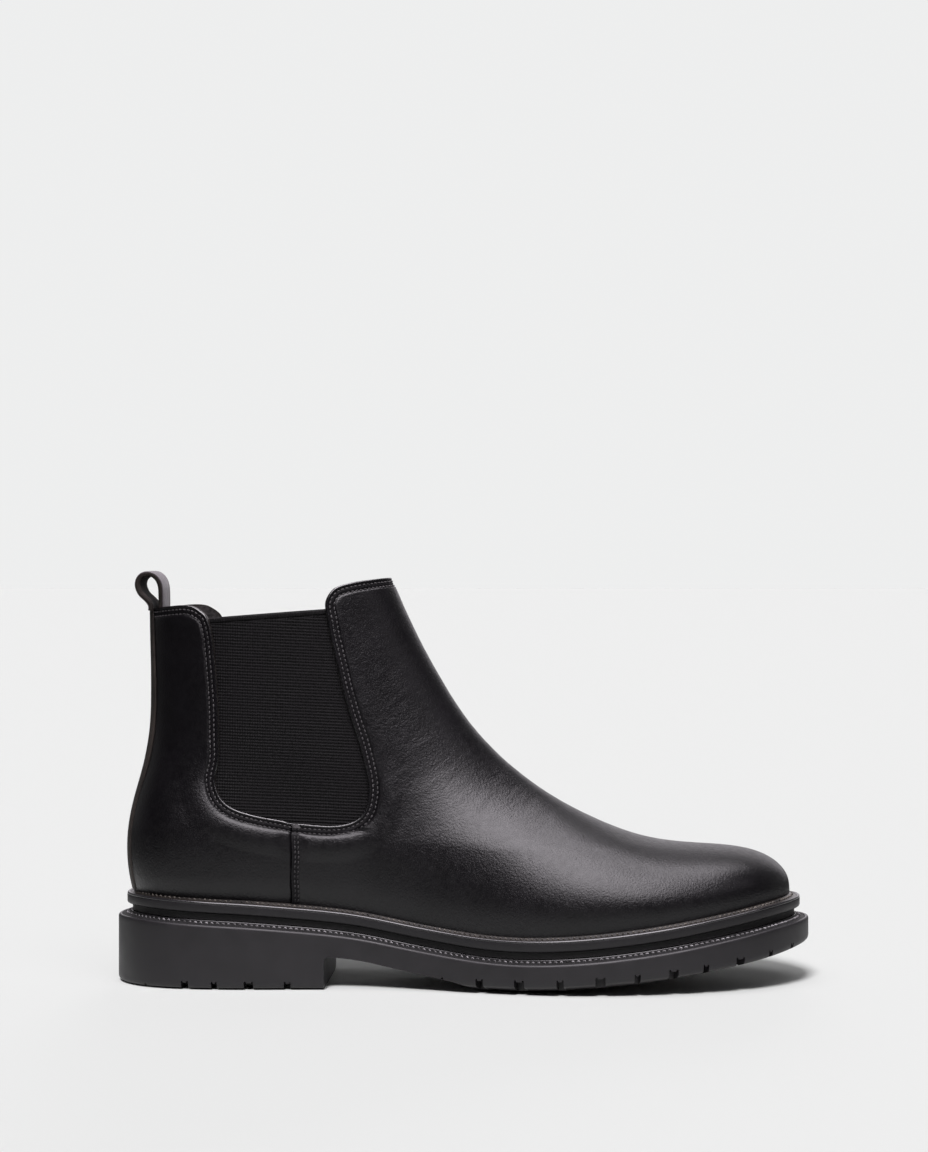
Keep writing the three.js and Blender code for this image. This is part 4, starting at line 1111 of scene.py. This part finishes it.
def beside(line, distance, inner, start=0.0, end=1.0):
    """(phi, rise) of a line beside another on the surface.

    A positive distance is to the left, looking along the line from outside the boot.
    """
    step = 1e-3
    phi, rise = line(np.linspace(start, end, 500)).T
    points = surface(phi, rise)
    along = unit(np.gradient(points, axis=0))
    across = np.cross(normals(phi, rise), along)
    by_phi = (surface(phi + step, rise) - points) / step
    by_rise = (surface(phi, np.maximum(rise - step, 0)) - points) / -step
    phi_across, phi_along = (by_phi * across).sum(1), (by_phi * along).sum(1)
    rise_across, rise_along = (by_rise * across).sum(1), (by_rise * along).sum(1)
    scale = distance / (phi_across * rise_along - rise_across * phi_along)
    rise_moved = np.clip(rise - phi_along * scale, 0.002, 1.0)
    return mirror(phi + rise_along * scale, inner), rise_moved


def lifted(place_on, height, on_relief=False):
    """(points, normals) of a (phi, rise) line, lifted off the surface or off the leather."""
    points, outward = surface(*place_on), normals(*place_on)
    lift = np.full(len(points), height)
    if on_relief:
        lift = lift + leather_relief(points, *place_on)[0]
    return points + outward * lift[:, None], outward


vamp_lines, quarter_lines, seam_lines, bar_lines = [], [], [], []
for _, is_inner in SIDES:
    for gap, line_height in ((1.9, -0.42), (3.9, -0.46)):
        vamp_lines.append(lifted(beside(vamp_edge, -gap, is_inner), line_height))
        quarter_lines.append(lifted(beside(quarter_edge, gap, is_inner), line_height))
    for gap in (1.35, 2.75):
        seam_place = beside(seam_line, -gap, is_inner, start=.03, end=.97)
        seam_lines.append(lifted(seam_place, 0.36, on_relief=True))
    # a bar of close stitches closes the top of each side seam
    for k in range(7):
        bar_place = mirror(np.linspace(1.185, 1.250, 12), is_inner), np.full(12, .2905 + k * .0024)
        bar_lines.append(lifted(bar_place, 0.06))

UPPER_STITCH = dict(pitch=2.1, length=1.55, height=0.10, slack=0.2)
EDGE_STITCH = dict(UPPER_STITCH, material=THREAD_BLACK, radius=0.28, twist=0.06)
place(stitches("outsole_stitches", [sole_line(4.1, 0.80)], THREAD_LIGHT, pitch=2.45,
               length=1.6, radius=0.42, height=0.15, slack=0.30, twist=0.50),
      "thread", "outsole_stitch")
place(stitches("welt_stitches", [sole_line(7.1, 10.35)], THREAD_WELT, pitch=2.3,
               length=1.3, radius=0.36, height=0.15, slack=0.34, twist=0.40),
      "thread", "welt_stitch")
place(stitches("side_seam_stitches", seam_lines, THREAD_SIDE, radius=0.26, twist=0.10,
               **UPPER_STITCH), "thread")
place(stitches("seam_bars", bar_lines, THREAD_BLACK, pitch=4.2, length=4.0, radius=0.26,
               height=0.10, slack=0.15, twist=0.0), "thread")
place(stitches("vamp_stitches", vamp_lines, **EDGE_STITCH), "thread", bend=VAMP_BEND)
place(stitches("quarter_stitches", quarter_lines, **EDGE_STITCH), "thread")

# ---------------------------------------------------------------- pull loop
# (x, z) along the outside of the strap: up behind the collar, over, and down inside it
LOOP_PATH = [
    (-26.9, 163.6), (-26.85, 165.2), (-27.8, 167.3), (-29.6, 169.5), (-31.1, 172.2),
    (-31.75, 175.0), (-31.1, 178.0), (-29.2, 180.1), (-26.2, 181.05), (-23.1, 180.35),
    (-20.6, 178.0), (-19.3, 174.6), (-19.0, 171.2), (-18.95, 168.4), (-18.95, 166.0),
    (-19.0, 163.4)]
# (y, depth towards the inside of the loop) round the section of the strap
LOOP_SECTION = np.array([
    (-11.9, .35), (-11.6, .1), (-11.0, 0), (-9.2, .05), (-8.9, .12), (-8.6, .05), (-4, 0),
    (0, 0), (4, 0), (8.6, .05), (8.9, .12), (9.2, .05), (11.0, 0), (11.6, .1), (11.9, .35),
    (12, 1.1), (11.9, 1.9), (11.5, 2.25), (6, 2.3), (0, 2.3), (-6, 2.3), (-11.5, 2.25),
    (-11.9, 1.9), (-12, 1.1)])
# slot 0 is the strap's outside, in the leather with the painted reflection
LOOP_BANDS = [0] * 14 + [2] * 3 + [1] * 4 + [2] * 3


def pull_loop():
    count, sides = 120, len(LOOP_SECTION)
    knots = lengths(LOOP_PATH, power=0.5)
    path = Spline(knots, LOOP_PATH)(np.linspace(0, knots[-1], count))
    along = unit(np.gradient(path, axis=0))
    inward = np.stack([along[:, 1], -along[:, 0]], 1)
    y, depth = LOOP_SECTION.T
    plane = path[:, None] + inward[:, None] * depth[:, None]
    # the rear foot of the strap follows the round of the heel
    curve = (1 - ease(164.5, 171.0, path[:, 1])) * np.where(np.arange(count) < count // 2,
                                                            0.009, 0.0)
    x = plane[..., 0] + curve[:, None] * y * y
    points = np.stack([x, np.broadcast_to(y, x.shape), plane[..., 1]], -1).reshape(-1, 3)
    points = points + np.c_[0.12 * value_noise(points, 6, 21), np.zeros(len(points)),
                            0.12 * value_noise(points, 6, 22)]
    obj = mesh_object("pull_loop_strap", points, tube_faces(count, sides),
                      [LOOP_PAINTED_REFLECTION, SUEDE, STRAP_EDGE], LOOP_BANDS * (count - 1) + [0, 0])
    turn_faces_out(obj)
    shade(obj, 50)
    return obj


place(pull_loop(), "black_leather", "pull_loop",
      bend=("loop", (-0.0246, 0, 0.1655), (-0.0246, 0, 0.1705)))

# ---------------------------------------------------------------- CAD pieces that stay
for node_name, made in (("insole_board", BOARD), ("cork_filler", CORK), ("shank", STEEL),
                        ("heel_core", CORK)):
    node_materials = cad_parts[node_name].data.materials
    node_materials.clear()
    node_materials.append(made.material)


# ---------------------------------------------------------------- floor
def paper():
    """White to the camera and near the boot; farther out, other rays see it painted dark, a
    painted shade that keeps the leather's reflections and bounce light dark.
    """
    made = Surface("paper", (0.80, 0.80, 0.80), roughness=0.9, specular=0.0)
    camera_ray = made.add("LightPath").outputs["Is Camera Ray"]
    position = made.add("NewGeometry").outputs["Position"]
    distance = made.add("VectorMath", {0: position, 1: (0.12, 0.0, 0.0)}, operation="DISTANCE")
    near = made.map_range(distance.outputs["Value"], 0.50, 0.24,
                          interpolation_type="SMOOTHSTEP")
    white = made.add("Math", {0: camera_ray, 1: near}, operation="MAXIMUM").outputs[0]
    # the dark colour is painted shade, seen only by rays other than the camera's, away from the
    # boot
    colours = {0: white, 6: (0.03, 0.03, 0.03, 1), 7: (0.80, 0.80, 0.80, 1)}
    made.set(**{"Base Color": made.add("Mix", colours, data_type="RGBA").outputs[2]})
    return made


FLOOR_REACH = 40000
floor = mesh_object("floor", [(x * FLOOR_REACH, y * FLOOR_REACH, 0) for x, y in
                              ((-1, -1), (1, -1), (1, 1), (-1, 1))], [(0, 1, 2, 3)], [paper()])
floor.location.z = -0.0002

# ---------------------------------------------------------------- world
BACKDROP = 0.857                      # what the camera sees
BACK_LIGHT, ALL_ROUND_LIGHT = 0.14, 0.02    # light from +y, and from everywhere

scene = bpy.context.scene
scene.view_settings.view_transform = "Standard"
scene.view_settings.look = "None"


def build_world():
    world = bpy.data.worlds.new("w")
    scene.world = world
    world.use_nodes = True
    world.node_tree.nodes.clear()
    nodes = Nodes(world.node_tree)
    direction = nodes.add("TexCoord").outputs["Generated"]
    toward_back = nodes.add("SeparateXYZ", {0: direction}).outputs[1]
    back = nodes.map_range(toward_back, .0, .45, interpolation_type="SMOOTHSTEP")
    back = nodes.add("Math", {0: back, 1: BACK_LIGHT}, operation="MULTIPLY").outputs[0]
    strength = nodes.add("Math", {0: back, 1: ALL_ROUND_LIGHT}, operation="ADD").outputs[0]
    light = nodes.add("Background", {"Color": (1, 1, 1, 1), "Strength": strength})
    seen = nodes.add("Background", {"Color": (BACKDROP * 0.995, BACKDROP, BACKDROP, 1)})
    both = nodes.add("MixShader", {0: nodes.add("LightPath").outputs["Is Camera Ray"],
                                   1: light.outputs[0], 2: seen.outputs[0]})
    nodes.add("OutputWorld", {"Surface": both.outputs[0]})


build_world()

# ---------------------------------------------------------------- lights
AIM = Vector((0.11, 0, 0.08))
# one set of lights for the boot and one for the paper
only_floor = bpy.data.collections.new("paper_only")
only_floor.objects.link(floor)
not_floor = bpy.data.collections.new("all_but_paper")
not_floor.objects.link(floor)
not_floor.collection_objects[0].light_linking.link_state = "EXCLUDE"


def around_aim(elevation, azimuth, distance):
    """A place round the aim, in degrees; azimuth 0 is at -y and grows towards the toe."""
    up, turn = math.radians(elevation), math.radians(azimuth)
    return (AIM[0] + distance * math.cos(up) * math.sin(turn),
            AIM[1] - distance * math.cos(up) * math.cos(turn),
            AIM[2] + distance * math.sin(up))


def add_light(light, location, receivers):
    obj = bpy.data.objects.new(light.name, light)
    scene.collection.objects.link(obj)
    obj.location = location
    obj.rotation_euler = (AIM - Vector(location)).to_track_quat("-Z", "Y").to_euler()
    obj.light_linking.receiver_collection = receivers
    return obj


def soft_box(name, location, width, height, radiance):
    light = bpy.data.lights.new(name, "AREA")
    light.shape = "RECTANGLE"
    light.size = width
    light.size_y = height
    light.energy = radiance * math.pi * width * height
    light.spread = math.pi
    light.color = (1.0, 0.945, 1.0)
    add_light(light, location, not_floor).visible_camera = False


def paper_sun(name, elevation, azimuth, strength, spread_degrees):
    light = bpy.data.lights.new(name, "SUN")
    light.energy = strength
    light.angle = math.radians(spread_degrees)
    add_light(light, around_aim(elevation, azimuth, 2.0), only_floor)


soft_box("key", (0.15, -0.71, 1.17), width=1.0, height=1.1, radiance=8.2)
soft_box("key_low", (0.20, -1.14, 0.80), width=0.95, height=0.50, radiance=1.25)
soft_box("top", (0.14, 0.20, 1.40), width=1.2, height=1.05, radiance=5.1)
soft_box("right", around_aim(28, 62, 1.2), width=0.6, height=0.5, radiance=0.55)
soft_box("back", (0.25, 1.40, 0.50), width=1.6, height=0.8, radiance=0.72)
paper_sun("paper_front", elevation=44, azimuth=-8, strength=3.33, spread_degrees=14)
paper_sun("paper_top", elevation=64, azimuth=0, strength=0.80, spread_degrees=60)
paper_sun("paper_low", elevation=12, azimuth=178, strength=0.60, spread_degrees=22)

# ---------------------------------------------------------------- camera
CAMERA_DISTANCE, CAMERA_HEIGHT = 1.250, 0.1788
CAMERA_TURN = math.radians(2.0)       # round from -y towards the toe
CAMERA_CENTRE_X = 0.1135

camera = bpy.data.cameras.new("cam")
camera.lens = 87.953125
camera.sensor_width = 36
camera.sensor_fit = "AUTO"
camera.clip_start = 0.05
camera.clip_end = 60
camera_object = bpy.data.objects.new("cam", camera)
scene.collection.objects.link(camera_object)
scene.camera = camera_object
camera_object.location = (CAMERA_CENTRE_X + CAMERA_DISTANCE * math.sin(CAMERA_TURN),
                          -CAMERA_DISTANCE * math.cos(CAMERA_TURN), CAMERA_HEIGHT)
camera_object.rotation_euler = (math.pi / 2, 0, CAMERA_TURN)
